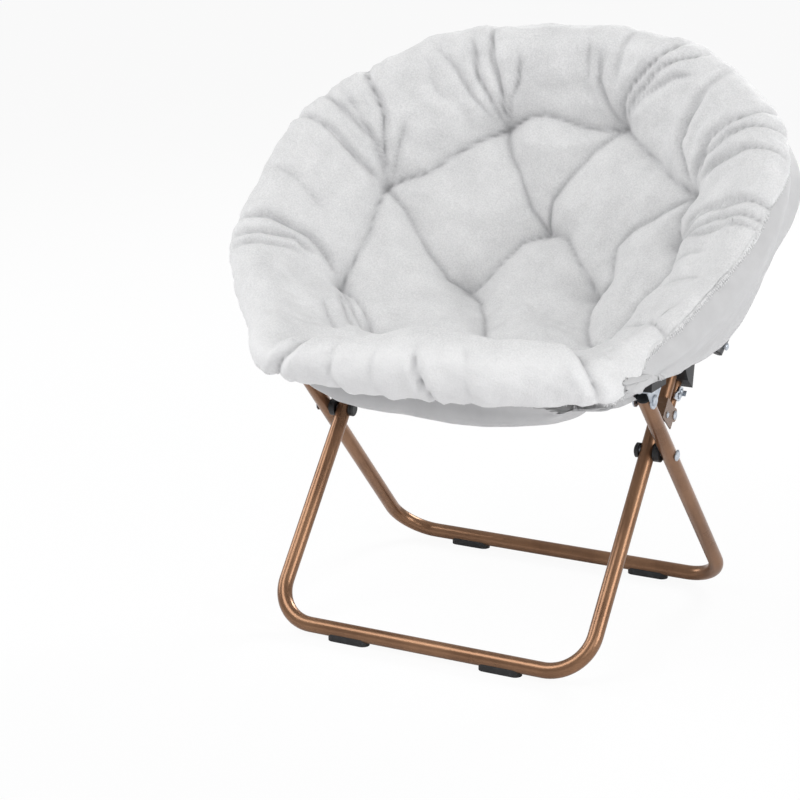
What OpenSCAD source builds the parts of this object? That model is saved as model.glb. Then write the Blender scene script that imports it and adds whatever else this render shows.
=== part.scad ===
// Folding saucer chair: two scissor legs, a level seat hoop on the outer leg, a back hoop
// hinged to its rear ends, lock arms that hold the seat open, and one quilted saucer pad.
// Millimetres. X is across the chair, the front faces -Y, and Z is up from the floor.

/* [Tubes] */
// Outside diameter of the leg and hoop tubes
tube_d = 22; // [19:0.5:23]
// Wall of every steel tube
tube_wall = 1.2; // [0.8:0.1:2]
// Bend radius of the leg corners
leg_bend = 60; // [45:1:80]
// Outside diameter of the lock arms
arm_d = 16; // [14:0.5:17]

/* [Legs] */
// Distance between the centre lines of the two floor bars
base_depth = 458; // [440:2:480]
// Height of the scissor pivot above the floor
pivot_z = 276; // [266:1:286]
// Distance of the middle of the floor bars in front of the chair's middle
stand_forward = 5.4; // [0:0.1:10]
// Distance of the scissor pivot in front of the middle of the floor bars
pivot_forward = 20; // [14:1:26]
// Half the spacing of the inner leg's uprights
inner_half = 241; // [232:1:246]
// Clear gap between an inner and an outer upright
leg_gap = 9.5; // [9:0.25:11]
// Length of the inner leg above the scissor pivot
inner_top = 118; // [108:1:120]
// Distance from the scissor pivot to the seat bracket's rivet
outer_top = 141; // [136:1:146]

/* [Feet] */
// Height that a foot pad lifts its floor bar
foot_lift = 4.3; // [3:0.1:6]
// Length of a foot pad along its bar
foot_l = 64; // [40:1:80]
// Width of a foot pad
foot_w = 20; // [14:1:22]
// Place of the front pads from the middle
front_foot_x = 118; // [90:1:140]
// Place of the rear pads from the middle
rear_foot_x = 151; // [110:1:160]

/* [Seat hoop] */
// Height of the seat rail above the seat bracket's rivet
rail_rise = 36; // [34:0.5:38]
// Distance of a side rail outboard of the outer upright
rail_shift = 5.5; // [5:0.25:6.5]
// Distance of the front bar in front of the chair's middle
rail_front = 245.4; // [238:0.2:252]
// Place of the back hoop's hinge behind the chair's middle
hinge_y = 66.6; // [62:0.2:70]
// Length of rail behind the hinge
rail_tail = 16; // [14:1:20]
// Bend radius of the seat hoop
rail_bend = 80; // [70:1:90]

/* [Back hoop] */
// Tilt of the back hoop's plane from level
back_tilt = 60; // [56:1:64]
// Radius of the back hoop's upper corners
corner_r = 210; // [200:2:220]
// Radius of the back hoop's top arc
top_r = 648; // [620:4:700]
// Place of a corner's centre from the middle
corner_x = 134; // [130:1:140]
// Place of a corner's centre along the hoop's plane
corner_s = 193; // [188:1:198]

/* [Saucer pad] */
// Half width of the rim, at the roll's centre line
saucer_half = 387; // [383:1:391]
// Depth of the rim from front to back, at the roll's centre line
saucer_run = 500; // [496:1:504]
// Rise of the rim from front to back, at the roll's centre line
saucer_rise = 384; // [380:1:388]
// Radius of the plush roll along the rim
roll_r = 39; // [36:0.5:42]
// Depth of the dish below the rim's plane, at the pad's middle layer
dish_depth = 155; // [150:1:160]
// Half thickness of the pad at its middle
pad_half = 32; // [29:0.5:35]
// Depth of a sewn tuft
tuft_depth = 20; // [8:1:26]
// Depth of the creases between tufts
crease_depth = 11; // [4:0.5:16]
// Drop of the slack pouch under the seat
pouch_drop = 34; // [10:1:40]

/* [Hidden] */
$fn = 48;

// Clearances: beside a part that turns, round a turning pin, and between seated parts
side_gap = 0.3;
pin_gap = 0.05;
seat_gap = 0.05;
// How far a cut runs past the face that it opens
over = 1;

tube_r = tube_d / 2;
arm_r = arm_d / 2;
bar_z = tube_r + foot_lift;
front_bar_y = -base_depth / 2 - stand_forward;
rear_bar_y = base_depth / 2 - stand_forward;
pivot_y = -pivot_forward - stand_forward;
outer_half = inner_half + tube_d + leg_gap;
rail_half = outer_half + rail_shift;

// Scissor: each upright runs from its floor bar through the pivot
inner_slope = atan2(pivot_z - bar_z, pivot_y - front_bar_y);
outer_slope = 180 - atan2(pivot_z - bar_z, rear_bar_y - pivot_y);
inner_below = norm([pivot_y - front_bar_y, pivot_z - bar_z]);
outer_below = norm([rear_bar_y - pivot_y, pivot_z - bar_z]);
// Length of outer upright past the seat bracket's rivet
outer_past = 6;

// Seat bracket's rivet and the rail above it
mount_y = pivot_y + outer_top * cos(outer_slope);
mount_z = pivot_z + outer_top * sin(outer_slope);
rail_z = mount_z + rail_rise;

// Rivets: shank and head of the scissor, bracket, hinge and lock arm rivets
rivet_r = 4;
rivet_head_r = 8;
rivet_head_h = 2.4;
small_rivet_r = 2.5;
small_head_r = 4.5;
small_head_h = 1.6;
// A head's flat face as a share of its radius
head_face_share = 0.7;
cap_r = 10.5;
cap_h = 7;
spacer_r = 13;
plug_flange = 2;
plug_reach = 16;
// Height of a foot pad's cradle above the bar's lowest line, as a share of the tube's radius
foot_hug_share = 0.55;

// Seat bracket: a channel of sheet round the outer upright's top
sheet = 2;
bracket_room = 0.6;
bracket_len = 52;
bracket_lobe = 12;
web_drop = 19;
saddle_w = 27;
saddle_wrap = 4;
screw_r = 2.6;
screw_head_r = 4;
screw_head_h = 2;

// Lock bracket: a channel round the inner upright that reaches back to the lock arm's rivet
lock_along = 70;
lock_back = 27;
lock_out = 2;
lock_room = 0.2;
lock_lobe = 10;
lock_bracket_low = 22;
lock_bracket_high = 8;
fix_rivet_along = -12;
// Lock arm: its length above its rivet, and the flared head under the rail
arm_above = 50;
arm_below = 9;
head_below = 1.5;
head_beside = 2.5;
head_ahead = 24;
head_behind = 16;
head_lip = 12;
head_in = 5;
head_top_z = rail_z - tube_r - head_below;
head_front_y = hinge_y - head_ahead;
head_rear_y = hinge_y + head_behind;
head_out = rail_half - tube_r - head_beside;
bush_r = 7;
arm_head_r = 6.5;
arm_head_h = 1.9;

// Latch plate on the outer side of the lock arm
latch_along = 30;
latch_lobe = 8;
latch_foot = 15.5;
latch_tail = 14;
latch_rise = 16;
latch_tab = 6;

// Hinge between the rail's rear ends and the back hoop
washer_play = 0.2;
hinge_space = 4;
hinge_head_r = 5.5;
hinge_head_in = 1.1;
back_foot_x = rail_half + tube_d + hinge_space;
back_tail = 9;
// Saw cut between the top arc and a side, as a turn about the corner's centre
hoop_cut_turn = 0.15;
// Hoop ferrules: their play in the tube, and how far they turn into the corner and the top arc
ferrule_play = 0.3;
ferrule_out_turn = 1;
ferrule_in_turn = 2;

// Fabric sleeves round the tubes, and the room that the pad leaves for hardware
cloth = 1.5;
sleeve_r = tube_r + seat_gap + cloth;
channel_ease = 1.15;
channel_r = sleeve_r + channel_ease;
room_beside = 9;
room_above = 3.2;
room_in = inner_half - tube_r - room_beside;
room_out = outer_half + tube_r + room_beside;
room_front = 172;
room_rear = 110;
room_top = rail_z + tube_r + room_above;
room_bottom = 250;
// Room for the back hoop's foot and for the rail's end, as the hoop folds over
hinge_room_r = 24.5;
rail_room_r = 28;
hinge_room_turn = 5;
hinge_room_out = back_foot_x + tube_r + room_beside;
room_step = 1.5;
pad_split = 0.25;
backing_gap = 0.3;

// Point on an upright's plane, a distance along it from the scissor pivot and square to it
function on_inner(along, back) = [pivot_y + along * cos(inner_slope) + back * sin(inner_slope),
    pivot_z + along * sin(inner_slope) - back * cos(inner_slope)];
lock_pin = on_inner(lock_along, lock_back);
latch_pin = on_inner(lock_along + latch_along, lock_back);
arm_x = inner_half + lock_out;
lock_plate_in = tube_r + lock_room;

// Back hoop's path in its own plane: arcs that meet the straight foot at a tangent
blend = acos(corner_x / (top_r - corner_r));
top_s = corner_s - (top_r - corner_r) * sin(blend);
foot_reach = norm([back_foot_x - corner_x, corner_s]);
foot_turn = -atan2(corner_s, back_foot_x - corner_x) + acos(corner_r / foot_reach);
foot_l_back = sqrt(foot_reach * foot_reach - corner_r * corner_r);
foot_lean = -foot_turn;

module both_sides() {
    children();
    mirror([1, 0, 0]) children();
}

// Cylinder along X between two places, at a point of the side view
module x_rod(x0, x1, at, r) {
    translate([x0, at[0], at[1]]) rotate([0, 90, 0]) cylinder(h = x1 - x0, r = r);
}

// Outline of the side view made into a plate between two places along X
module x_plate(x0, x1) {
    translate([x0, 0, 0]) rotate([90, 0, 90]) linear_extrude(x1 - x0) children();
}

// Rivet head with a chamfered face, on the outer or inner side
module rivet_head(x, at, r, h, out = 1) {
    translate([x, at[0], at[1]]) rotate([0, 90 * out, 0]) {
        cylinder(h = h / 2, r = r);
        translate([0, 0, h / 2]) cylinder(h = h / 2, r1 = r, r2 = r * head_face_share);
    }
}

// Round bar bent to a U in the XY plane, its middle bar on the X axis
module u_bar(half, bend, length, r) {
    translate([bend - half, 0, 0]) rotate([0, 90, 0]) cylinder(h = 2 * (half - bend), r = r);
    both_sides() {
        translate([half - bend, bend, 0]) rotate([0, 0, -90])
            rotate_extrude(angle = 90) translate([bend, 0]) circle(r = r);
        translate([half, bend, 0]) rotate([-90, 0, 0]) cylinder(h = length - bend, r = r);
    }
}

module u_tube(half, bend, length) {
    difference() {
        u_bar(half, bend, length, tube_r);
        u_bar(half, bend, length + over, tube_r - tube_wall);
    }
}

// Turns a child that is built on the XY plane onto a leg's plane
module on_leg(floor_y, slope) {
    translate([0, floor_y, bar_z]) rotate([slope, 0, 0]) children();
}

// Plug in a tube's open end: its reach inside, and a rounded flange outside
module end_plug(flange) {
    translate([0, 0, -plug_reach]) cylinder(h = plug_reach + seat_gap + flange / 4,
        r = tube_r - tube_wall - seat_gap);
    translate([0, 0, seat_gap]) cylinder(h = flange / 2, r = tube_r);
    translate([0, 0, seat_gap + flange / 2]) cylinder(h = flange / 2, r1 = tube_r, r2 = tube_r - flange);
}

// Inner leg body

module inner_leg_frame() {
    color("#b57a3c") difference() {
        on_leg(front_bar_y, inner_slope)
            u_tube(inner_half, leg_bend, inner_below + inner_top);
        both_sides() x_rod(inner_half - tube_d, inner_half + tube_d, [pivot_y, pivot_z], rivet_r + pin_gap);
        both_sides() x_rod(inner_half - tube_d, inner_half + tube_d,
            on_inner(lock_along + fix_rivet_along, 0), small_rivet_r + pin_gap);
    }
}

module inner_leg_plugs() {
    color("#1d1d1f") on_leg(front_bar_y, inner_slope) both_sides()
        translate([inner_half, inner_below + inner_top, 0]) rotate([-90, 0, 0]) end_plug(plug_flange);
}

// Foot pad: a block with rounded ends and a cradle for the bar
module foot_pad(at_x, at_y) {
    translate([at_x, at_y, 0]) difference() {
        linear_extrude(foot_lift + tube_r * foot_hug_share) {
            square([foot_l - foot_w, foot_w], center = true);
            translate([(foot_l - foot_w) / 2, 0]) circle(r = foot_w / 2);
            translate([(foot_w - foot_l) / 2, 0]) circle(r = foot_w / 2);
        }
        x_rod(-foot_l, foot_l, [0, bar_z], tube_r + seat_gap);
    }
}

module front_feet() {
    color("#1d1d1f") both_sides() foot_pad(front_foot_x, front_bar_y);
}

module leg_spacers() {
    color("#1d1d1f") both_sides() difference() {
        x_rod(inner_half + tube_r + seat_gap, outer_half - tube_r - side_gap, [pivot_y, pivot_z], spacer_r);
        x_rod(inner_half, outer_half, [pivot_y, pivot_z], rivet_r + pin_gap);
    }
}

module pivot_rivets() {
    inner_face = inner_half - tube_r - seat_gap;
    outer_face = outer_half + tube_r + side_gap;
    color("#b9bcc0") both_sides() {
        x_rod(inner_face, outer_face, [pivot_y, pivot_z], rivet_r);
        rivet_head(inner_face, [pivot_y, pivot_z], rivet_head_r, rivet_head_h, -1);
        rivet_head(outer_face, [pivot_y, pivot_z], rivet_head_r, rivet_head_h);
    }
}

module pivot_caps() {
    face = inner_half - tube_r - seat_gap;
    color("#1d1d1f") both_sides() difference() {
        union() {
            x_rod(face - cap_h / 2, face, [pivot_y, pivot_z], cap_r);
            rivet_head(face - cap_h / 2, [pivot_y, pivot_z], cap_r, cap_h / 2, -1);
        }
        x_rod(face - rivet_head_h - seat_gap, face + over, [pivot_y, pivot_z], rivet_head_r + seat_gap);
    }
}

// Lock bracket outline on the inner leg's plane: along the upright and back from it
module lock_bracket_outline(web_only = false) {
    front = lock_plate_in + sheet;
    if (!web_only) circle_at_pin();
    translate([lock_along - lock_bracket_low, -front])
        square([lock_bracket_low + lock_bracket_high, web_only ? sheet : front + lock_back]);
}

module circle_at_pin() {
    translate([lock_along, lock_back]) circle(r = lock_lobe);
}

// Places an outline drawn as along and back on the inner leg, between two places along X
module on_inner_plate(x0, x1) {
    translate([x0, pivot_y, pivot_z]) rotate([inner_slope, 0, 0]) rotate([90, 0, 90])
        mirror([0, 1, 0]) linear_extrude(x1 - x0) children();
}

module lock_brackets() {
    inside = lock_plate_in;
    color("#8f5a2b") both_sides() difference() {
        union() {
            on_inner_plate(inner_half - inside - sheet, inner_half - inside) lock_bracket_outline();
            on_inner_plate(inner_half + inside, inner_half + inside + sheet) lock_bracket_outline();
            on_inner_plate(inner_half - inside - sheet / 2, inner_half + inside + sheet / 2)
                lock_bracket_outline(true);
        }
        x_rod(inner_half - tube_d, inner_half + tube_d, lock_pin, rivet_r + pin_gap);
        x_rod(inner_half - tube_d, inner_half + tube_d,
            on_inner(lock_along + fix_rivet_along, 0), small_rivet_r + pin_gap);
    }
}

module bracket_rivets() {
    at = on_inner(lock_along + fix_rivet_along, 0);
    face = lock_plate_in + sheet + seat_gap;
    color("#b9bcc0") both_sides() {
        x_rod(inner_half - face, inner_half + face, at, small_rivet_r);
        rivet_head(inner_half - face, at, small_head_r, small_head_h, -1);
        rivet_head(inner_half + face, at, small_head_r, small_head_h);
    }
}

// Outer leg body

module outer_leg_frame() {
    color("#b57a3c") difference() {
        on_leg(rear_bar_y, outer_slope)
            u_tube(outer_half, leg_bend, outer_below + outer_top + outer_past);
        both_sides() x_rod(outer_half - tube_d, outer_half + tube_d, [pivot_y, pivot_z], rivet_r + pin_gap);
        both_sides() x_rod(outer_half - tube_d, outer_half + tube_d, [mount_y, mount_z], rivet_r + pin_gap);
    }
}

// Cap over the outer leg's top: a ring on the tube's end and a rounded crown
module outer_leg_caps() {
    color("#1d1d1f") on_leg(rear_bar_y, outer_slope) both_sides()
        translate([outer_half, outer_below + outer_top + outer_past, 0]) rotate([-90, 0, 0])
            difference() {
                end_plug(plug_flange);
                translate([0, 0, -plug_reach - over])
                    cylinder(h = plug_reach + over, r = tube_r - 3 * tube_wall);
                rotate([0, 90, 0]) translate([outer_past, 0, -tube_r])
                    cylinder(h = tube_d, r = rivet_r + side_gap);
            }
}

module rear_feet() {
    color("#1d1d1f") both_sides() foot_pad(rear_foot_x, rear_bar_y);
}

// Seat hoop body

module seat_rail_tube() {
    color("#4a4a4c") difference() {
        translate([0, -rail_front, rail_z]) u_tube(rail_half, rail_bend, rail_front + hinge_y + rail_tail);
        both_sides() x_rod(rail_half - tube_d, rail_half + tube_d, [hinge_y, rail_z], rivet_r + pin_gap);
        both_sides() for (end = [-1, 1]) translate([rail_half - rail_shift,
            mount_y + end * (bracket_len / 2 - screw_head_r), rail_z - tube_d])
                cylinder(h = tube_d, r = screw_r + pin_gap);
    }
}

module seat_rail_plugs() {
    color("#2a2a2c") both_sides() difference() {
        translate([rail_half, hinge_y + rail_tail, rail_z]) rotate([-90, 0, 0]) end_plug(plug_flange);
        x_rod(rail_half - tube_d, rail_half + tube_d, [hinge_y, rail_z], rivet_r + side_gap);
    }
}

// Bracket cheek: a trapezium that hangs from the web down to the round lobe
module bracket_outline() {
    web_z = mount_z + rail_rise - web_drop;
    translate([mount_y, mount_z]) circle(r = bracket_lobe);
    polygon([[mount_y - bracket_lobe, mount_z], [mount_y + bracket_lobe, mount_z],
        [mount_y + bracket_len / 2, web_z], [mount_y - bracket_len / 2, web_z]]);
}

module seat_brackets() {
    inside = tube_r + bracket_room;
    web_z = rail_z - web_drop;
    color("#b9bcc0") both_sides() difference() {
        union() {
            x_plate(outer_half - inside - sheet, outer_half - inside) bracket_outline();
            x_plate(outer_half + inside, outer_half + inside + sheet) bracket_outline();
            translate([outer_half - inside - sheet, mount_y - bracket_len / 2, web_z - sheet])
                cube([2 * (inside + sheet), bracket_len, sheet]);
        }
        x_rod(outer_half - tube_d, outer_half + tube_d, [mount_y, mount_z], rivet_r + pin_gap);
        for (end = [-1, 1])
            translate([outer_half, mount_y + end * (bracket_len / 2 - screw_head_r), web_z - tube_r])
                cylinder(h = tube_d, r = screw_r + pin_gap);
    }
}

// Saddle: a block on the bracket's web that cradles the rail
module seat_saddles() {
    low = rail_z - web_drop + seat_gap;
    high = rail_z - tube_r + saddle_wrap;
    color("#1d1d1f") both_sides() difference() {
        translate([rail_half - saddle_w / 2, mount_y - bracket_len / 2, low])
            cube([saddle_w, bracket_len, high - low]);
        translate([rail_half, mount_y - bracket_len, rail_z]) rotate([-90, 0, 0])
            cylinder(h = 2 * bracket_len, r = tube_r + seat_gap);
        for (end = [-1, 1])
            translate([outer_half, mount_y + end * (bracket_len / 2 - screw_head_r), low - over])
                cylinder(h = tube_d, r = screw_r + pin_gap);
    }
}

module saddle_screws() {
    head_z = rail_z - web_drop - sheet - seat_gap;
    color("#b9bcc0") both_sides() for (end = [-1, 1])
        translate([outer_half, mount_y + end * (bracket_len / 2 - screw_head_r), head_z]) {
            cylinder(h = rail_z - tube_r + saddle_wrap - head_z, r = screw_r);
            rotate([180, 0, 0]) cylinder(h = screw_head_h, r1 = screw_head_r,
                r2 = screw_head_r * head_face_share);
        }
}

module seat_rivets() {
    face = tube_r + bracket_room + sheet + seat_gap;
    at = [mount_y, mount_z];
    color("#b9bcc0") both_sides() {
        x_rod(outer_half - face, outer_half + face, at, rivet_r);
        rivet_head(outer_half - face, at, rivet_head_r * 0.8, rivet_head_h, -1);
        rivet_head(outer_half + face, at, rivet_head_r, rivet_head_h);
    }
}

// Cloth pocket round the seat hoop's front bar
module seat_sleeve() {
    half = rail_half - rail_bend;
    color("#dcdcdc") difference() {
        x_rod(-half, half, [-rail_front, rail_z], sleeve_r);
        x_rod(-half - over, half + over, [-rail_front, rail_z], tube_r + seat_gap);
    }
}

// Back hoop body

module on_back() {
    translate([0, hinge_y, rail_z]) rotate([back_tilt, 0, 0]) children();
}

// Corner arc and straight foot of one side of the back hoop, as a round bar
module back_side_bar(r, tail, end_turn) {
    translate([corner_x, corner_s, 0]) rotate([0, 0, foot_turn]) {
        rotate_extrude(angle = end_turn - foot_turn) translate([corner_r, 0]) circle(r = r);
        translate([corner_r, 0, 0]) rotate([90, 0, 0]) cylinder(h = foot_l_back + tail, r = r);
    }
}

// Part of the top arc between two angles either side of the middle, as a ring section
module top_arc(from, to) {
    translate([0, top_s, 0]) rotate([0, 0, from])
        rotate_extrude(angle = to - from, $fn = 96) translate([top_r, 0]) children();
}

module back_hoop_sides() {
    color("#4a4a4c") both_sides() difference() {
        on_back() difference() {
            back_side_bar(tube_r, back_tail, blend - hoop_cut_turn);
            back_side_bar(tube_r - tube_wall, back_tail + over, blend + hoop_cut_turn);
        }
        x_rod(back_foot_x - tube_d, back_foot_x + tube_d, [hinge_y, rail_z], rivet_r + pin_gap);
    }
}

module back_hoop_top() {
    color("#4a4a4c") on_back() top_arc(blend, 180 - blend) difference() {
        circle(r = tube_r, $fn = 48);
        circle(r = tube_r - tube_wall, $fn = 48);
    }
}

// Curved plugs that join the top arc to the corners, inside the tubes
module hoop_ferrules() {
    color("#b9bcc0") on_back() both_sides() top_arc(blend - ferrule_out_turn, blend + ferrule_in_turn)
        circle(r = tube_r - tube_wall - ferrule_play, $fn = 48);
}

module back_hoop_plugs() {
    color("#2a2a2c") both_sides() difference() {
        on_back() translate([corner_x, corner_s, 0]) rotate([0, 0, foot_turn])
            translate([corner_r, -foot_l_back - back_tail, 0]) rotate([90, 0, 0]) end_plug(plug_flange);
        x_rod(back_foot_x - tube_d, back_foot_x + tube_d, [hinge_y, rail_z], rivet_r + side_gap);
    }
}

module hinge_washers() {
    inner = rail_half + tube_r + washer_play;
    outer = back_foot_x - tube_r / cos(foot_lean) - rivet_head_r * tan(foot_lean) - washer_play;
    color("#1d1d1f") both_sides() difference() {
        x_rod(inner, outer, [hinge_y, rail_z], rivet_head_r);
        x_rod(inner - over, outer + over, [hinge_y, rail_z], rivet_r + pin_gap);
    }
}

module hinge_rivets() {
    inner = rail_half - tube_r - side_gap;
    outer = back_foot_x + tube_r / cos(foot_lean) + hinge_head_r * tan(foot_lean) + seat_gap;
    color("#b9bcc0") both_sides() {
        x_rod(inner, outer, [hinge_y, rail_z], rivet_r);
        rivet_head(inner, [hinge_y, rail_z], hinge_head_r, hinge_head_in, -1);
        rivet_head(outer, [hinge_y, rail_z], hinge_head_r, rivet_head_h);
    }
}

// Cloth pocket round the back hoop's top arc
module back_sleeve() {
    color("#dcdcdc") on_back() top_arc(blend, 180 - blend) difference() {
        circle(r = sleeve_r, $fn = 48);
        circle(r = tube_r + seat_gap, $fn = 48);
    }
}

// Saucer pad: rim rows run from the middle of the front lip to the middle of the top edge.
// Each row holds shares of the half width, the run and the rise, then the skirt's depth
// and its reach past the roll's centre, as shares of the deepest skirt and the roll.
rim_shares = [
    [0, 0, 0.003, 0.38, 0], [0.336, 0, 0, 0.38, 0], [0.563, 0.024, -0.003, 0.38, 0],
    [0.677, 0.086, 0.003, 0.38, 0], [0.775, 0.22, 0.034, 0.42, 0], [0.879, 0.312, 0.117, 0.7, 0],
    [0.966, 0.396, 0.216, 0.96, 0], [1, 0.496, 0.344, 1, 0], [0.992, 0.616, 0.5, 0.88, 0],
    [0.935, 0.756, 0.682, 0.76, 0.15], [0.775, 0.868, 0.831, 0.66, 0.5],
    [0.504, 0.956, 0.945, 0.5, 0.85], [0.207, 0.994, 0.992, 0.41, 0.72], [0, 1, 1, 0.4, 0.72]];
lip_ahead = 8;
lip_below = 3;
lip_y = -rail_front - lip_ahead;
lip_z = rail_z - lip_below;
skirt_depth = 120;
rim_tilt = 45;
dish_middle_shares = [0, 0.476, 0.318];
dish_power = 1.8;
under_depth = dish_depth + pad_half;
lip_crown = 6;

dish_down = [0, sin(rim_tilt), -cos(rim_tilt)];
dish_up = [0, cos(rim_tilt), sin(rim_tilt)];
dish_middle = saucer_place(dish_middle_shares);
function saucer_place(share) = [saucer_half * share[0], lip_y + saucer_run * share[1],
    lip_z + saucer_rise * share[2]];

// The rim as a closed ring: the rows, their mirror images, and points half way between
half_rows = len(rim_shares);
ring_rows = 2 * half_rows - 2;
ring_points = 2 * ring_rows;
function mirror_row(row) = [-row[0], row[1], row[2], row[3], row[4]];
function rim_row(k) = let (j = (k + ring_rows) % ring_rows)
    j < half_rows ? rim_shares[j] : mirror_row(rim_shares[ring_rows - j]);
function between_rows(k) = (9 * (rim_row(k) + rim_row(k + 1)) - rim_row(k - 1) - rim_row(k + 2)) / 16;
function ring_row(i) = i % 2 == 0 ? rim_row(i / 2) : between_rows((i - 1) / 2);
function rim_at(i) = saucer_place(ring_row(i));
function unit(v) = v / norm(v);
function outward(i) = let (v = rim_at(i) - dish_middle) unit(v - (v * dish_down) * dish_down);
// Every second place of the roll is drawn in, as the quilting puckers it
pucker_share = 0.05;
function roll_at(i) = roll_r * (1 + pucker_share * (i % 2 == 0 ? 1 : -1))
    + lip_crown * max(0, 1 - ring_row(i)[1] * 4);

// Sewn tufts as shares of the half width and of the rim's length up its plane
tuft_shares = [[0, 0.1], [0.47, 0.1], [0.26, 0.32], [0, 0.46], [0.65, 0.25], [0.62, 0.49], [0.24, 0.69]];
crease_pairs = [[0, 2], [2, 3], [3, 6], [6, 5], [2, 5], [5, 4], [1, 2]];
tuft_reach = 30;
crease_reach = 24;
plane_length = saucer_run * cos(rim_tilt) + saucer_rise * sin(rim_tilt);
function tuft_at(k, side) = [side * saucer_half * tuft_shares[k][0], plane_length * tuft_shares[k][1]];
function in_plane(p) = [p[0], (p - [0, lip_y, lip_z]) * dish_up];
function bell(d, reach) = exp(-d * d / (reach * reach));
function line_distance(q, a, b) = let (f = max(0, min(1, (q - a) * (b - a) / ((b - a) * (b - a)))))
    norm(q - a - f * (b - a));
function drawn_in(q) = max([for (side = [-1, 1]) for (k = [0:len(tuft_shares) - 1])
        tuft_depth * bell(norm(q - tuft_at(k, side)), tuft_reach)])
    + max([for (side = [-1, 1]) for (pair = crease_pairs) crease_depth
        * bell(line_distance(q, tuft_at(pair[0], side), tuft_at(pair[1], side)), crease_reach)]);

// Plush face at a share of the way from the middle to the rim
function face_point(i, v) = let (
        p = dish_middle + (rim_at(i) - dish_middle) * v
            + dish_down * (dish_depth * (1 - pow(v, dish_power)) - pad_half)
            - dish_down * (roll_at(i) - pad_half) * pow(v, 3))
    p + dish_down * drawn_in(in_plane(p)) * (1 - pow(v, 6));
// Roll round the rim at an angle from outward, and the skirt down to the hoops
function roll_point(i, turn) = rim_at(i) + outward(i) * roll_at(i) * cos(turn)
    + dish_down * roll_at(i) * sin(turn);
function skirt_at(i) = skirt_depth * ring_row(i)[3];
function skirt_out(i) = roll_r * ring_row(i)[4];
function skirt_point(i, out_share, down_share, lift) = rim_at(i)
    + outward(i) * (skirt_out(i) + (roll_at(i) - skirt_out(i)) * out_share + lift * max(out_share, 0.5))
    + dish_down * (skirt_at(i) * down_share + lift * down_share);
// Slack pouch under the seat between the legs
pouch_half_share = 0.94;
pouch_front_share = 0.23;
function ramp(f) = max(0, min(1, f));
function pouch(p) = -pouch_drop * ramp(1 - pow(p[0] / (room_in * pouch_half_share), 4))
    * ramp((p[1] - lip_y + roll_r * 0.36) / (rail_front * pouch_front_share))
    * ramp((room_rear - p[1]) / room_front);
function under_point(i, v, lift) = let (
        p = dish_middle + (rim_at(i) - dish_middle) * v + outward(i) * skirt_out(i) * pow(v, 4)
            + dish_down * (skirt_at(i) + (under_depth - skirt_at(i)) * (1 - v * v) + lift))
    p + [0, 0, pouch(p)];

face_steps = [0.16, 0.3, 0.44, 0.58, 0.71, 0.84];
roll_turns = [-135, -90, -45, 0];
skirt_steps = [[0.72, 0.62], [0, 1]];
under_steps = [0.87, 0.72, 0.55, 0.38, 0.2];

ring = [0:ring_points - 1];
// Closed skin through a list of rings, with a point at each end. Bands before the turn have
// their diagonals the other way, so that a layer laid in reverse matches its neighbour.
function tube_faces(rings, turn = 0) = let (n = ring_points, last = rings * n) concat(
    [for (i = ring) [last, (i + 1) % n, i]],
    [for (j = [0:rings - 2]) for (i = ring)
        let (a = j * n + i, b = j * n + (i + 1) % n, c = b + n, d = a + n) each j < turn
            ? [[a, b, d], [b, c, d]] : [[a, b, c], [a, c, d]]],
    [for (i = ring) [last + 1, (rings - 1) * n + i, (rings - 1) * n + (i + 1) % n]]);

function under_rings(lift) = concat(
    [for (s = skirt_steps) for (i = ring) skirt_point(i, s[0], s[1], lift)
        + [0, 0, s[1] == 1 ? pouch(skirt_point(i, s[0], s[1], lift)) : 0]],
    [for (v = under_steps) for (i = ring) under_point(i, v, lift)]);

module pad_form() {
    rings = len(face_steps) + len(roll_turns) + len(skirt_steps) + len(under_steps);
    points = concat(
        [for (v = face_steps) for (i = ring) face_point(i, v)],
        [for (turn = roll_turns) for (i = ring) roll_point(i, turn)],
        under_rings(0), [face_point(0, 0)], [under_point(0, 0, 0)]);
    polyhedron(points = points, faces = tube_faces(rings), convexity = 6);
}

// Backing cloth: the skirt and underside again, a little outside the pad
module backing_form() {
    rows = len(skirt_steps) + len(under_steps);
    outer = under_rings(backing_gap + cloth);
    inner = under_rings(backing_gap);
    points = concat([under_point(0, 0, backing_gap)],
        [for (j = [rows - 1:-1:0]) for (i = ring) inner[j * ring_points + i]],
        outer, [under_point(0, 0, backing_gap + cloth)]);
    faces = tube_faces(2 * rows, rows - 1);
    count = 2 * rows * ring_points;
    // Move the first end point behind the rings, where the faces look for it
    ordered = concat([for (k = [1:count]) points[k]], [points[0], points[count + 1]]);
    polyhedron(points = ordered, faces = faces, convexity = 6);
}

// Places along each hoop with the turn of its outward side: the seat hoop from the left side
// round the front, and the back hoop from the right foot over the top
corner_steps = 4;
seat_stations = [for (side = [-1, 1]) for (k = [0:corner_steps])
    let (a = (side == 1 ? 270 : 180) + 90 * k / corner_steps)
    [side * (rail_half - rail_bend) + rail_bend * cos(a), rail_bend + rail_bend * sin(a), a]];
arc_steps = 6;
back_half_stations = concat(
    [[back_foot_x, 0, foot_turn]],
    [for (k = [0:arc_steps]) let (a = foot_turn + (blend - foot_turn) * k / arc_steps)
        [corner_x + corner_r * cos(a), corner_s + corner_r * sin(a), a]],
    [for (k = [1:corner_steps]) let (a = blend + (90 - blend) * k / corner_steps)
        [top_r * cos(a), top_s + top_r * sin(a), a]]);
back_last = len(back_half_stations) - 1;
back_stations = concat(back_half_stations, [for (k = [back_last - 1:-1:0])
    [-back_half_stations[k][0], back_half_stations[k][1], 180 - back_half_stations[k][2]]]);
channel_sides = 12;

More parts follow.
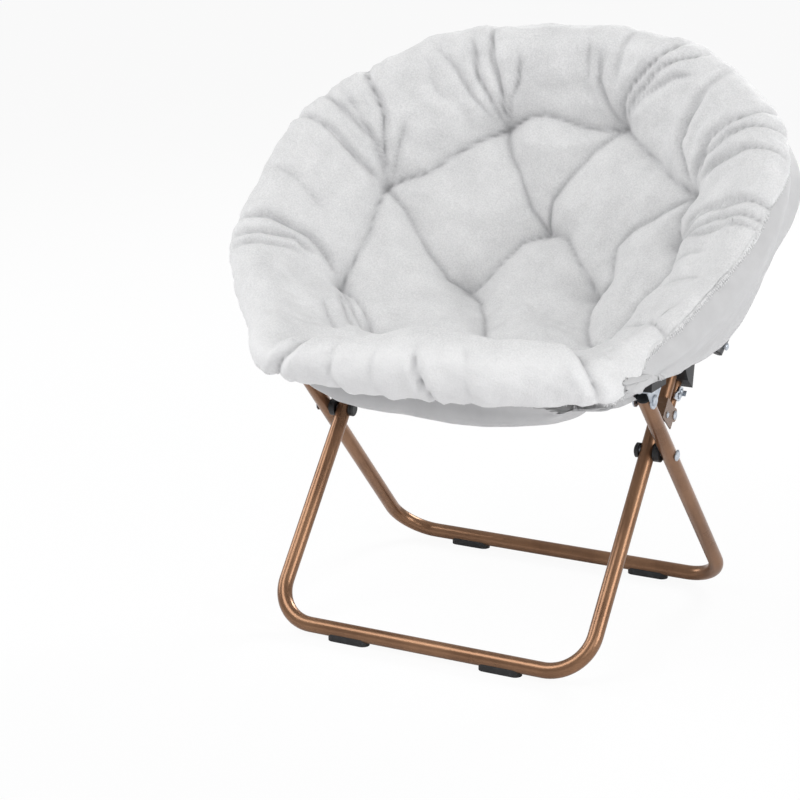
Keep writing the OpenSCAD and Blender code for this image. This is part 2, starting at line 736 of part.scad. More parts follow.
// Channel swept along a hoop's stations: a ring of points at each place, and a fan at each end
module channel(stations) {
    n = channel_sides;
    count = len(stations);
    rings = [for (p = stations) for (k = [0:n - 1])
        [p[0] + channel_r * cos(360 * k / n) * cos(p[2]), p[1] + channel_r * cos(360 * k / n) * sin(p[2]),
            channel_r * sin(360 * k / n)]];
    sides = [for (j = [0:count - 2]) for (k = [0:n - 1]) each [
        [j * n + k, (j + 1) * n + (k + 1) % n, (j + 1) * n + k],
        [j * n + k, j * n + (k + 1) % n, (j + 1) * n + (k + 1) % n]]];
    ends = [[for (k = [n - 1:-1:0]) k], [for (k = [0:n - 1]) (count - 1) * n + k]];
    polyhedron(points = rings, faces = concat(sides, ends), convexity = 8);
}

// Room that the pad leaves: channels for the hoops, slots for the rails, legs and hinges
module hardware_room() {
    on_back() channel(back_stations);
    translate([0, -rail_front, rail_z]) channel(seat_stations);
    both_sides() {
        translate([room_in, -room_front, room_bottom])
            cube([room_out - room_in, room_front + room_rear, room_top - room_bottom]);
        translate([room_in + room_step, hinge_y, rail_z])
            rotate([hinge_room_turn, 0, 0]) rotate([0, 90, 0]) {
                cylinder(h = hinge_room_out - room_in, r = hinge_room_r, $fn = 12);
                cylinder(h = room_out - room_in - 2 * room_step, r = rail_room_r, $fn = 12);
            }
    }
}

// Wedge of space round the hinge line between two directions in the side view
module wedge(from, to) {
    far = 2 * saucer_run;
    mid = (from + to) / 2;
    shift = pad_split * [cos(mid), sin(mid)];
    apex = [hinge_y, rail_z] + shift;
    spokes = [for (k = [0:4]) let (a = from + (to - from) * k / 4) apex + far * [cos(a), sin(a)]];
    x_plate(-far, far) polygon(concat([apex], spokes));
}

seat_from = 168;
back_to = 75;

module seat_part() {
    intersection() {
        wedge(seat_from, 270);
        difference() {
            children();
            hardware_room();
        }
    }
}

module back_part() {
    intersection() {
        wedge(-90, back_to);
        difference() {
            children();
            hardware_room();
        }
    }
}

module gusset_part() {
    intersection() {
        wedge(back_to, seat_from);
        difference() {
            children();
            hardware_room();
        }
    }
}

module seat_cushion() { color("#f2f2f0") seat_part() pad_form(); }
module seat_backing() { color("#d9d9d9") seat_part() backing_form(); }
module back_cushion() { color("#f2f2f0") back_part() pad_form(); }
module back_backing() { color("#d9d9d9") back_part() backing_form(); }
module gusset_cushion() { color("#f2f2f0") gusset_part() pad_form(); }
module gusset_backing() { color("#d9d9d9") gusset_part() backing_form(); }

// Lock arm body

// Places a child on the lock arm: Z runs up the arm from its rivet
module on_arm() {
    translate([arm_x, lock_pin[0], lock_pin[1]]) rotate([inner_slope - 90, 0, 0]) children();
}

module lock_arm_tubes() {
    color("#b57a3c") both_sides() difference() {
        on_arm() translate([0, 0, -arm_below]) difference() {
            cylinder(h = arm_below + arm_above, r = arm_r);
            translate([0, 0, -over]) cylinder(h = arm_below + arm_above + 2 * over, r = arm_r - tube_wall);
        }
        x_rod(arm_x - tube_r, arm_x + tube_r, lock_pin, rivet_r + pin_gap);
        x_rod(arm_x - tube_r, arm_x + tube_r, latch_pin, small_rivet_r + pin_gap);
    }
}

module lock_bushes() {
    inner = inner_half - lock_plate_in + side_gap;
    outer = inner_half + lock_plate_in - side_gap;
    color("#1d1d1f") both_sides() difference() {
        union() {
            x_rod(inner, arm_x - arm_r - seat_gap, lock_pin, bush_r);
            x_rod(arm_x + arm_r + seat_gap, outer, lock_pin, bush_r);
        }
        x_rod(inner - over, outer + over, lock_pin, rivet_r + pin_gap);
    }
}

module lock_arm_rivets() {
    face = lock_plate_in + sheet + side_gap;
    color("#b9bcc0") both_sides() {
        x_rod(inner_half - face, inner_half + face, lock_pin, rivet_r);
        rivet_head(inner_half - face, lock_pin, arm_head_r, arm_head_h, -1);
        rivet_head(inner_half + face, lock_pin, arm_head_r, arm_head_h);
    }
}

// Flared plastic head on the lock arm's top, which stands under the rail
module lock_heads() {
    neck = lock_pin + arm_above * [cos(inner_slope), sin(inner_slope)];
    side = head_lip * [sin(inner_slope), -cos(inner_slope)];
    color("#1d1d1f") both_sides() {
        x_plate(arm_x - arm_r + head_in / 2, head_out) polygon([neck + side, neck - side,
            [head_front_y, head_top_z - head_lip], [head_front_y, head_top_z],
            [head_rear_y, head_top_z], [head_rear_y + head_in, head_top_z - head_lip]]);
        on_arm() translate([0, 0, arm_above - plug_reach]) cylinder(h = plug_reach + over,
            r = arm_r - tube_wall - seat_gap);
    }
}

module latch_rivets() {
    inner = arm_x - arm_r - seat_gap;
    outer = arm_x + arm_r + side_gap * 2 + sheet;
    color("#b9bcc0") both_sides() {
        x_rod(inner, outer, latch_pin, small_rivet_r);
        rivet_head(inner, latch_pin, small_head_r, small_head_h, -1);
        rivet_head(outer, latch_pin, small_head_r, small_head_h);
    }
}

// Latch plate: a lobe on the rivet, a foot towards the leg and a turned-out thumb tab
module latch_outline() {
    at = [lock_along + latch_along, lock_back];
    translate(at) circle(r = latch_lobe);
    polygon([at + [-latch_lobe, 0], at + [-latch_lobe * 1.4, -latch_foot],
        at + [-latch_lobe * 0.5, -latch_foot], at + [latch_lobe * 0.6, -latch_lobe * 0.8],
        at + [latch_rise * 0.8, -latch_lobe * 0.5], at + [latch_rise, latch_tail * 0.5],
        at + [latch_rise * 0.5, latch_tail], at + [0, latch_lobe]]);
}

module latch_plate() {
    inner = arm_x + arm_r + side_gap;
    tab = [lock_along + latch_along + latch_rise * 0.5 - sheet, lock_back + latch_tail - sheet];
    knob = on_inner(lock_along + latch_along + latch_rise * 0.55, lock_back + latch_lobe * 0.5);
    difference() {
        union() {
            on_inner_plate(inner, inner + sheet) latch_outline();
            on_inner_plate(inner, inner + latch_tab) translate(tab) square([latch_lobe, sheet]);
            rivet_head(inner + sheet, knob, small_head_r * 0.8, small_head_h);
        }
        x_rod(inner - over, inner + sheet + over, latch_pin, small_rivet_r + pin_gap);
    }
}

module latch_left() { color("#b9bcc0") mirror([1, 0, 0]) latch_plate(); }
module latch_right() { color("#b9bcc0") latch_plate(); }

inner_leg_frame();
inner_leg_plugs();
front_feet();
leg_spacers();
pivot_rivets();
pivot_caps();
lock_brackets();
bracket_rivets();
outer_leg_frame();
outer_leg_caps();
rear_feet();
seat_rail_tube();
seat_rail_plugs();
seat_brackets();
seat_saddles();
saddle_screws();
seat_rivets();
seat_sleeve();
seat_cushion();
seat_backing();
back_hoop_sides();
back_hoop_top();
hoop_ferrules();
back_hoop_plugs();
hinge_washers();
hinge_rivets();
back_sleeve();
back_cushion();
back_backing();
gusset_cushion();
gusset_backing();
lock_arm_tubes();
lock_bushes();
lock_arm_rivets();
lock_heads();
latch_rivets();
latch_left();
latch_right();
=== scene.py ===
import math

import bmesh
import bpy
import numpy as np
from mathutils import Matrix, Vector


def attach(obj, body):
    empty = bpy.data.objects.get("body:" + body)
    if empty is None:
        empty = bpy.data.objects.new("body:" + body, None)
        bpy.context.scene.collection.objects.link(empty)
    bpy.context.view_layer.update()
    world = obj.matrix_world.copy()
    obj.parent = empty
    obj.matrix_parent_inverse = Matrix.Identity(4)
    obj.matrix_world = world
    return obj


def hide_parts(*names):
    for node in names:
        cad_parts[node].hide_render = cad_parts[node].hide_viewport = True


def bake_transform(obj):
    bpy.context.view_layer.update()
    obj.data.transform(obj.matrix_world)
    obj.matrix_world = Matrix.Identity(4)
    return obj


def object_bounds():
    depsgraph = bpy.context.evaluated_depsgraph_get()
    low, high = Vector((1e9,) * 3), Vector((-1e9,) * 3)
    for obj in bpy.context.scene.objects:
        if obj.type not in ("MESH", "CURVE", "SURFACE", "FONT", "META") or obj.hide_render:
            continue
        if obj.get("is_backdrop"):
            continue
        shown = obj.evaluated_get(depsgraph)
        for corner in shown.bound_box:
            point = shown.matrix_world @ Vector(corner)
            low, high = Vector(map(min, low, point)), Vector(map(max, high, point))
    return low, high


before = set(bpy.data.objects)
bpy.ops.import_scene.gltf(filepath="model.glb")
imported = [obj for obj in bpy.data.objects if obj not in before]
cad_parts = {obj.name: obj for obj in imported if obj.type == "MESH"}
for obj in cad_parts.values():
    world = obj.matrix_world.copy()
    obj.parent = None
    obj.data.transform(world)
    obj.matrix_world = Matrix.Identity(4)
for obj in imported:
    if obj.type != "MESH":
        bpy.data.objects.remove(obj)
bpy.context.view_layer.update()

# Studio. The chair stands on a plain pale floor among wide soft lights, the strongest behind
# it and beside it, and is seen from three metres away, a little from the right.
scene = bpy.context.scene
scene.view_settings.view_transform = "Standard"

eye = bpy.data.cameras.new("studio_camera")
eye.lens = 97.2
eye.sensor_width = 36
eye_down, eye_round = math.radians(15.18), math.radians(27.98)
eye_stand = bpy.data.objects.new("studio_camera", eye)
eye_stand.location = (1.2836, -2.7193, 1.1277)
eye_stand.rotation_euler = (math.pi / 2 - eye_down, 0, eye_round)
scene.collection.objects.link(eye_stand)
scene.camera = eye_stand

world = bpy.data.worlds.new("pale_room")
world.use_nodes = True
scene.world = world
room = world.node_tree
room.nodes.clear()
room_out = room.nodes.new("ShaderNodeOutputWorld")
room_mix = room.nodes.new("ShaderNodeMixShader")
room_light = room.nodes.new("ShaderNodeBackground")
room_light.inputs["Color"].default_value = (1, 1, 1, 1)
room_light.inputs["Strength"].default_value = 0.45
room_seen = room.nodes.new("ShaderNodeBackground")
room_seen.inputs["Color"].default_value = (1, 1, 1, 1)
room_seen.inputs["Strength"].default_value = 1.0
room_rays = room.nodes.new("ShaderNodeLightPath")
room.links.new(room_rays.outputs["Is Camera Ray"], room_mix.inputs["Fac"])
room.links.new(room_light.outputs[0], room_mix.inputs[1])
room.links.new(room_seen.outputs[0], room_mix.inputs[2])
room.links.new(room_mix.outputs[0], room_out.inputs["Surface"])

chair_middle = Vector((0, 0, 0.5))


def hang_softbox(name, place, size, watts):
    lamp = bpy.data.lights.new(name, "AREA")
    lamp.shape = "DISK"
    lamp.size = size
    lamp.energy = watts
    box = bpy.data.objects.new(name, lamp)
    box.location = place
    box.rotation_euler = (chair_middle - Vector(place)).to_track_quat("-Z", "Y").to_euler()
    scene.collection.objects.link(box)


hang_softbox("overhead_softbox", (-1.2, -1.6, 2.9), 1.8, 38)
hang_softbox("front_fill", (2.2, -2.6, 1.9), 1.8, 16)
hang_softbox("right_fill", (3.4, -0.6, 1.4), 1.8, 48)
hang_softbox("left_fill", (-3.4, -0.4, 1.6), 1.8, 34)
hang_softbox("rear_edge", (0.5, 3.2, 2.3), 1.6, 90)

floor_mesh = bpy.data.meshes.new("pale_floor")
bm = bmesh.new()
bmesh.ops.create_grid(bm, x_segments=1, y_segments=1, size=30)
bm.to_mesh(floor_mesh)
bm.free()
pale_floor = bpy.data.objects.new("pale_floor", floor_mesh)
scene.collection.objects.link(pale_floor)
floor_paint = bpy.data.materials.new("floor_paint")
floor_paint.use_nodes = True
ground = floor_paint.node_tree
ground.nodes.clear()
ground_out = ground.nodes.new("ShaderNodeOutputMaterial")
ground_mix = ground.nodes.new("ShaderNodeMixShader")
ground_dull = ground.nodes.new("ShaderNodeBsdfDiffuse")
ground_dull.inputs["Color"].default_value = (0.78, 0.78, 0.79, 1)
ground_white = ground.nodes.new("ShaderNodeEmission")
ground_white.inputs["Color"].default_value = (1, 1, 1, 1)
ground_rays = ground.nodes.new("ShaderNodeLightPath")
ground_share = ground.nodes.new("ShaderNodeMath")
ground_share.operation = "MULTIPLY"
ground_share.inputs[1].default_value = 0.92
ground.links.new(ground_rays.outputs["Is Camera Ray"], ground_share.inputs[0])
ground.links.new(ground_share.outputs[0], ground_mix.inputs["Fac"])
ground.links.new(ground_dull.outputs[0], ground_mix.inputs[1])
ground.links.new(ground_white.outputs[0], ground_mix.inputs[2])
ground.links.new(ground_mix.outputs[0], ground_out.inputs["Surface"])
floor_mesh.materials.append(floor_paint)
pale_floor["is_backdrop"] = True

# Legs and lock arms. Round steel tube bent to two U shapes, sprayed with a bronze paint that
# has fine metal flake in it, a little darker where the spray ran thin on the bends.


def lay_nodes(tree, kind, **values):
    node = tree.nodes.new(kind)
    for key, value in values.items():
        name = key.replace("_", " ")
        if name in node.inputs:
            node.inputs[name].default_value = value
        else:
            setattr(node, key, value)
    return node


def start_finish(name):
    finish = bpy.data.materials.new(name)
    finish.use_nodes = True
    tree = finish.node_tree
    tree.nodes.clear()
    out = tree.nodes.new("ShaderNodeOutputMaterial")
    shader = tree.nodes.new("ShaderNodeBsdfPrincipled")
    tree.links.new(shader.outputs[0], out.inputs["Surface"])
    place = tree.nodes.new("ShaderNodeTexCoord")
    return finish, tree, shader, place.outputs["Object"]


def start_effect(name, inputs, outputs):
    group = bpy.data.node_groups.new(name, "ShaderNodeTree")
    for label, kind, value in inputs:
        socket = group.interface.new_socket(name=label, in_out="INPUT", socket_type=kind)
        if value is not None:
            socket.default_value = value
    for label, kind in outputs:
        group.interface.new_socket(name=label, in_out="OUTPUT", socket_type=kind)
    return group, group.nodes.new("NodeGroupInput"), group.nodes.new("NodeGroupOutput")


# Sprayed paint: a slow drift of thickness, and a fine orange peel that bends the light
sprayed, spray_in, spray_out = start_effect(
    "sprayed_paint",
    [("Place", "NodeSocketVector", None), ("Thin Colour", "NodeSocketColor", (0.2, 0.1, 0.05, 1)),
     ("Full Colour", "NodeSocketColor", (0.4, 0.2, 0.1, 1)), ("Flake", "NodeSocketFloat", 0.5)],
    [("Colour", "NodeSocketColor"), ("Roughness", "NodeSocketFloat"), ("Peel", "NodeSocketFloat")])
drift = lay_nodes(sprayed, "ShaderNodeTexNoise", Scale=14.0, Detail=3.0)
flake = lay_nodes(sprayed, "ShaderNodeTexNoise", Scale=900.0, Detail=1.0)
peel = lay_nodes(sprayed, "ShaderNodeTexNoise", Scale=320.0, Detail=2.0)
for source in (drift, flake, peel):
    sprayed.links.new(spray_in.outputs["Place"], source.inputs["Vector"])
drift_range = lay_nodes(sprayed, "ShaderNodeMapRange")
drift_range.inputs["From Min"].default_value = 0.3
drift_range.inputs["From Max"].default_value = 0.7
sprayed.links.new(drift.outputs["Fac"], drift_range.inputs["Value"])
coat_mix = lay_nodes(sprayed, "ShaderNodeMix", data_type="RGBA")
sprayed.links.new(drift_range.outputs[0], coat_mix.inputs[0])
sprayed.links.new(spray_in.outputs["Thin Colour"], coat_mix.inputs[6])
sprayed.links.new(spray_in.outputs["Full Colour"], coat_mix.inputs[7])
flake_lift = lay_nodes(sprayed, "ShaderNodeMath", operation="MULTIPLY_ADD")
sprayed.links.new(flake.outputs["Fac"], flake_lift.inputs[0])
sprayed.links.new(spray_in.outputs["Flake"], flake_lift.inputs[1])
flake_lift.inputs[2].default_value = 0.7
flake_mix = lay_nodes(sprayed, "ShaderNodeMix", data_type="RGBA", blend_type="MULTIPLY")
flake_mix.inputs[0].default_value = 1.0
sprayed.links.new(coat_mix.outputs[2], flake_mix.inputs[6])
sprayed.links.new(flake_lift.outputs[0], flake_mix.inputs[7])
sprayed.links.new(flake_mix.outputs[2], spray_out.inputs["Colour"])
rough_range = lay_nodes(sprayed, "ShaderNodeMapRange")
rough_range.inputs["To Min"].default_value = 0.2
rough_range.inputs["To Max"].default_value = 0.4
sprayed.links.new(drift.outputs["Fac"], rough_range.inputs["Value"])
sprayed.links.new(rough_range.outputs[0], spray_out.inputs["Roughness"])
sprayed.links.new(peel.outputs["Fac"], spray_out.inputs["Peel"])


def spray(name, thin, full, flake_depth, metallic, bump):
    finish, tree, shader, place = start_finish(name)
    coat = lay_nodes(tree, "ShaderNodeGroup", node_tree=sprayed)
    coat.inputs["Thin Colour"].default_value = (*thin, 1)
    coat.inputs["Full Colour"].default_value = (*full, 1)
    coat.inputs["Flake"].default_value = flake_depth
    tree.links.new(place, coat.inputs["Place"])
    tree.links.new(coat.outputs["Colour"], shader.inputs["Base Color"])
    tree.links.new(coat.outputs["Roughness"], shader.inputs["Roughness"])
    shader.inputs["Metallic"].default_value = metallic
    shader.inputs["Coat Weight"].default_value = 0.12
    shader.inputs["Coat Roughness"].default_value = 0.25
    dimple = lay_nodes(tree, "ShaderNodeBump", Strength=bump, Distance=0.0004)
    tree.links.new(coat.outputs["Peel"], dimple.inputs["Height"])
    tree.links.new(dimple.outputs["Normal"], shader.inputs["Normal"])
    return finish


def finish_nodes(finish, *names):
    for name in names:
        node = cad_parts[name]
        if node.material_slots:
            for place in node.material_slots:
                place.material = finish
        else:
            node.data.materials.append(finish)


bronze_paint = spray("bronze_paint", (0.20, 0.102, 0.054), (0.29, 0.155, 0.084), 0.55, 0.72, 0.10)
finish_nodes(bronze_paint, "inner_leg_frame", "outer_leg_frame", "lock_arm_tubes")

# Lock brackets. Folded steel channels riveted to the inner legs, in a plainer brown paint
# that is a shade duller than the tube's.
bracket_paint = spray("bracket_paint", (0.17, 0.092, 0.05), (0.23, 0.128, 0.07), 0.25, 0.3, 0.16)
finish_nodes(bracket_paint, "lock_brackets")

# Seat and back hoop. The same tube in a dark grey paint, mostly hidden in the cover: it shows
# beside the brackets, in the slots under the seat and at the hinge.
hoop_paint = spray("hoop_paint", (0.055, 0.056, 0.06), (0.085, 0.086, 0.09), 0.3, 0.3, 0.14)
finish_nodes(hoop_paint, "seat_rail_tube", "back_hoop_sides", "back_hoop_top")

# Rivets, U-brackets, screws and latch plates. Pressed steel with a bright zinc plating, which
# dries in faint cloudy patches and is rubbed along the press marks.
zinc, zinc_tree, zinc_shader, zinc_place = start_finish("zinc_plate")
zinc_cloud = lay_nodes(zinc_tree, "ShaderNodeTexNoise", Scale=110.0, Detail=4.0)
zinc_rub = lay_nodes(zinc_tree, "ShaderNodeTexNoise", Scale=700.0, Detail=2.0)
zinc_tree.links.new(zinc_place, zinc_cloud.inputs["Vector"])
zinc_tree.links.new(zinc_place, zinc_rub.inputs["Vector"])
zinc_ramp = lay_nodes(zinc_tree, "ShaderNodeValToRGB")
zinc_ramp.color_ramp.elements[0].position = 0.35
zinc_ramp.color_ramp.elements[0].color = (0.40, 0.44, 0.49, 1)
zinc_ramp.color_ramp.elements[1].position = 0.66
zinc_ramp.color_ramp.elements[1].color = (0.62, 0.66, 0.71, 1)
zinc_tree.links.new(zinc_cloud.outputs["Fac"], zinc_ramp.inputs["Fac"])
zinc_tree.links.new(zinc_ramp.outputs["Color"], zinc_shader.inputs["Base Color"])
zinc_rough = lay_nodes(zinc_tree, "ShaderNodeMapRange")
zinc_rough.inputs["To Min"].default_value = 0.24
zinc_rough.inputs["To Max"].default_value = 0.46
zinc_tree.links.new(zinc_cloud.outputs["Fac"], zinc_rough.inputs["Value"])
zinc_tree.links.new(zinc_rough.outputs[0], zinc_shader.inputs["Roughness"])
zinc_shader.inputs["Metallic"].default_value = 0.9
zinc_bump = lay_nodes(zinc_tree, "ShaderNodeBump", Strength=0.12, Distance=0.0003)
zinc_tree.links.new(zinc_rub.outputs["Fac"], zinc_bump.inputs["Height"])
zinc_tree.links.new(zinc_bump.outputs["Normal"], zinc_shader.inputs["Normal"])
finish_nodes(zinc, "pivot_rivets", "bracket_rivets", "seat_brackets", "saddle_screws",
             "seat_rivets", "hoop_ferrules", "hinge_rivets", "lock_arm_rivets", "latch_rivets",
             "latch_left", "latch_right")

# Feet, plugs, caps, spacers, saddles and lock heads. Moulded black plastic with the fine
# spark-eroded grain of the mould and slightly greyer scuffs.
black_plastic, grain_tree, grain_shader, grain_place = start_finish("black_plastic")
grain = lay_nodes(grain_tree, "ShaderNodeTexNoise", Scale=1100.0, Detail=2.0)
scuff = lay_nodes(grain_tree, "ShaderNodeTexNoise", Scale=60.0, Detail=5.0, Roughness=0.7)
grain_tree.links.new(grain_place, grain.inputs["Vector"])
grain_tree.links.new(grain_place, scuff.inputs["Vector"])
scuff_ramp = lay_nodes(grain_tree, "ShaderNodeValToRGB")
scuff_ramp.color_ramp.elements[0].position = 0.5
scuff_ramp.color_ramp.elements[0].color = (0.012, 0.012, 0.013, 1)
scuff_ramp.color_ramp.elements[1].position = 0.75
scuff_ramp.color_ramp.elements[1].color = (0.035, 0.035, 0.037, 1)
grain_tree.links.new(scuff.outputs["Fac"], scuff_ramp.inputs["Fac"])
grain_tree.links.new(scuff_ramp.outputs["Color"], grain_shader.inputs["Base Color"])
grain_rough = lay_nodes(grain_tree, "ShaderNodeMapRange")
grain_rough.inputs["To Min"].default_value = 0.36
grain_rough.inputs["To Max"].default_value = 0.62
grain_tree.links.new(scuff.outputs["Fac"], grain_rough.inputs["Value"])
grain_tree.links.new(grain_rough.outputs[0], grain_shader.inputs["Roughness"])
grain_bump = lay_nodes(grain_tree, "ShaderNodeBump", Strength=0.25, Distance=0.0003)
grain_tree.links.new(grain.outputs["Fac"], grain_bump.inputs["Height"])
grain_tree.links.new(grain_bump.outputs["Normal"], grain_shader.inputs["Normal"])
finish_nodes(black_plastic, "inner_leg_plugs", "front_feet", "leg_spacers", "pivot_caps",
             "outer_leg_caps", "rear_feet", "seat_rail_plugs", "seat_saddles", "back_hoop_plugs",
             "hinge_washers", "lock_bushes", "lock_heads")

# Saucer pad. White short-pile plush over loose filling, tufted at twelve places, with folds
# that fan from the tufts over the stuffed roll to the seam on its outer side.
mm = 0.001
saucer_half, saucer_run, saucer_rise = 387.0, 500.0, 384.0
lip = np.array((0.0, -253.4, 410.96))
dish_depth, pad_half, dish_power = 155.0, 32.0, 1.8
plane_tilt = math.sqrt(0.5)
dish_down = np.array((0.0, plane_tilt, -plane_tilt))
dish_up = np.array((0.0, plane_tilt, plane_tilt))

# Rim from the middle of the front lip round the right side to the top: shares of the half
# width, the run and the rise, then the cover's depth and its reach outside the rim
rim_half = np.array((
    (0, 0, 0.003, 0.38, 0), (0.336, 0, 0, 0.38, 0), (0.563, 0.024, -0.003, 0.38, 0),
    (0.677, 0.086, 0.003, 0.38, 0), (0.775, 0.22, 0.034, 0.42, 0), (0.879, 0.312, 0.117, 0.7, 0),
    (0.966, 0.396, 0.216, 0.96, 0), (1, 0.496, 0.344, 1, 0), (0.992, 0.616, 0.5, 0.88, 0),
    (0.935, 0.756, 0.682, 0.76, 0.15), (0.775, 0.868, 0.831, 0.66, 0.5),
    (0.504, 0.956, 0.945, 0.5, 0.85), (0.207, 0.994, 0.992, 0.41, 0.72), (0, 1, 1, 0.4, 0.72)))
rim_rows = np.vstack([rim_half, rim_half[12:0:-1] * (-1, 1, 1, 1, 1)])
rim_count = len(rim_rows)
# The stuffed roll at each rim place: how far it sits in from the rim, its radius, and the turn
# round it at which the plush meets the cover. The right side is squashed in, the left is full.
roll_rows = np.array((
    (12, 44, 44), (19, 41, 38), (30, 39, 32), (19, 31, 26), (34, 29, -46), (37, 29, -62),
    (41, 29, -72), (34, 29, -60), (26, 30, -40), (21, 32, 20), (18, 34, 56), (9, 35, 66),
    (6, 36, 66), (13, 36, 66), (9, 36, 66), (10, 36, 66), (22, 36, 66), (14, 36, 66), (13, 36, 66),
    (6, 36, 66), (3, 37, 66), (8, 36, 66), (11, 35, 66), (12, 30, 62), (-6, 25, 56), (0, 33, 52)))
# On the right the cover is drawn in tight over the rail and the back hoop's side
tight_rows = slice(3, 10)
rim_rows[tight_rows, 3] = (0.2, 0.25, 0.72, 0.98, 1.07, 0.95, 0.77)
rim_rows[tight_rows, 4] = (0.1, -0.2, -1.05, -1.5, -1.42, -0.95, 0.2)


def smooth_step(points, at, closed=False):
    """Smooth curve through the first axis of points, read at whole and part steps."""
    last = len(points) - 1
    step = np.floor(at).astype(int)
    if not closed:
        step = np.clip(step, 0, last - 1)
    part = (at - step).reshape((-1,) + (1,) * (points.ndim - 1))

    def row(k):
        if closed:
            return points[k % len(points)]
        inside = points[np.clip(k, 0, last)]
        before = (k < 0).reshape(part.shape)
        after = (k > last).reshape(part.shape)
        inside = np.where(before, 2 * points[0] - points[1], inside)
        return np.where(after, 2 * points[last] - points[last - 1], inside)

    a, b, c, d = row(step - 1), row(step), row(step + 1), row(step + 2)
    return 0.5 * (2 * b + (c - a) * part + (2 * a - 5 * b + 4 * c - d) * part ** 2
                  + (3 * b - a - 3 * c + d) * part ** 3)


def at_share(share):
    return np.stack([saucer_half * share[..., 0], lip[1] + saucer_run * share[..., 1],
                     lip[2] + saucer_rise * share[..., 2]], -1)


dish_middle = at_share(np.array((0, 0.476, 0.318)))


class SaucerRim:
    """The rim's places, outward directions and roll at a number of even steps."""

    deepest_skirt, widest_reach = 120.0, 39.0
    roll_start, tucked_under = -140, 100

    def __init__(self, steps):
        at = np.arange(steps) * rim_count / steps
        row = smooth_step(rim_rows, at, closed=True)
        self.place = at_share(row)
        span = self.place - dish_middle
        flat = span - (span @ dish_down)[:, None] * dish_down
        self.outward = flat / np.linalg.norm(flat, axis=1, keepdims=True)
        inset, self.roll, self.seam = smooth_step(roll_rows, at, closed=True).T
        self.core = self.place - self.outward * inset[:, None]
        self.skirt = self.deepest_skirt * row[:, 3]
        self.reach = self.widest_reach * row[:, 4]

    def face(self, share, depth=0.0):
        sag = (dish_depth * (1 - share ** dish_power) - pad_half
               - (self.roll - pad_half) * share ** 3 + depth)
        return dish_middle + (self.core - dish_middle) * share + dish_down * sag[:, None]

    def turn(self, degrees, grow=0.0):
        a, r = np.radians(degrees * np.ones(len(self.roll))), self.roll + grow
        return (self.core + self.outward * (r * np.cos(a))[:, None]
                + dish_down * (r * np.sin(a))[:, None])

    def to_seam(self, part):
        return self.turn(self.roll_start + (self.seam - self.roll_start) * part)

    def past_seam(self, part, grow):
        return self.turn(self.seam + (self.tucked_under - self.seam) * part, grow)


def ball_rings(name, around, rings):
    """A sphere's mesh with each vertex's ring, from the pole down, and its place in the ring."""
    bm = bmesh.new()
    bmesh.ops.create_uvsphere(bm, u_segments=around, v_segments=rings, radius=1)
    mesh = bpy.data.meshes.new(name)
    bm.to_mesh(mesh)
    bm.free()
    co = np.empty(len(mesh.vertices) * 3)
    mesh.vertices.foreach_get("co", co)
    co = co.reshape(-1, 3)
    ring = np.rint(np.arccos(np.clip(co[:, 2], -1, 1)) / math.pi * rings).astype(int)
    turn = np.arctan2(co[:, 0], -co[:, 1]) / (2 * math.pi) * around
    return mesh, ring, np.rint(turn).astype(int) % around


def outward_normals(grid):
    across = np.roll(grid, -1, 1) - np.roll(grid, 1, 1)
    along = np.gradient(grid, axis=0)
    normal = np.cross(across, along)
    normal /= np.linalg.norm(normal, axis=2, keepdims=True) + 1e-9
    normal[0], normal[-1] = -dish_down, dish_down
    if normal[len(grid) // 5, 0] @ dish_down > 0:
        normal[1:-1] *= -1
    return normal


# Tufts on the laid-out pad, in millimetres across and up from the dish's middle, and depth
tufts = {
    "shoulder_left": (-254, 139, 15), "crown_left": (-95, 261, 22), "crown_right": (97, 274, 22),
    "shoulder_right": (234, 169, 15), "heart": (0, 118, 18), "waist_left": (-90, 19, 32),
    "waist_right": (96, 30, 32), "hip_left": (-262, -40, 18), "hip_right": (221, 96, 15),
    "lap": (0, -113, 18), "lap_left": (-182, -115, 19), "lap_right": (180, -90, 19)}
# Folds drawn between tufts: the tufts or places they pass, their depth and their half width
quilting = (
    (("shoulder_left", (-231, 155), (-195, 174), (-173, 200), (-133, 236), "crown_left"), 15, 24),
    (("crown_left", (-60, 281), (-32, 287), (-3, 282), (40, 273), (80, 271), "crown_right"),
     15, 24),
    (("crown_right", (134, 246), (168, 220), (204, 189), "shoulder_right"), 15, 24),
    (("shoulder_left", (-256, 88), (-253, 50), (-261, -10), "hip_left"), 13, 22),
    (("shoulder_left", (-214, 109), (-187, 81), (-157, 49), (-121, 21), "waist_left"), 12, 22),
    (("crown_left", (-77, 222), (-56, 195), (-30, 149), "heart"), 9, 20),
    (("crown_right", (55, 234), (22, 192), (3, 164), "heart"), 9, 20),
    (("heart", (-33, 97), (-55, 60), (-76, 29), "waist_left"), 12, 22),
    (("heart", (28, 113), (38, 108), (62, 77), (89, 43), "waist_right"), 12, 22),
    (("waist_left", (-65, -3), (-48, -30), (-25, -82), "lap"), 12, 20),
    (("waist_right", (111, -12), (127, -49), (149, -79), "lap_right"), 11, 20),
    (("waist_right", (127, 42), (124, 94), (146, 120), (178, 134), "shoulder_right"), 9, 18),
    (("lap_right", (190, -57), (196, -14), (212, 11), (236, 39), "hip_right"), 12, 20),
    (("shoulder_right", (219, 134), "hip_right"), 12, 18),
    (("hip_left", (-223, -73), (-200, -95), "lap_left"), 11, 20),
    (("lap_left", (-120, -124), (-60, -122), "lap"), 15, 26),
    (("lap", (60, -120), (120, -112), "lap_right"), 15, 26))
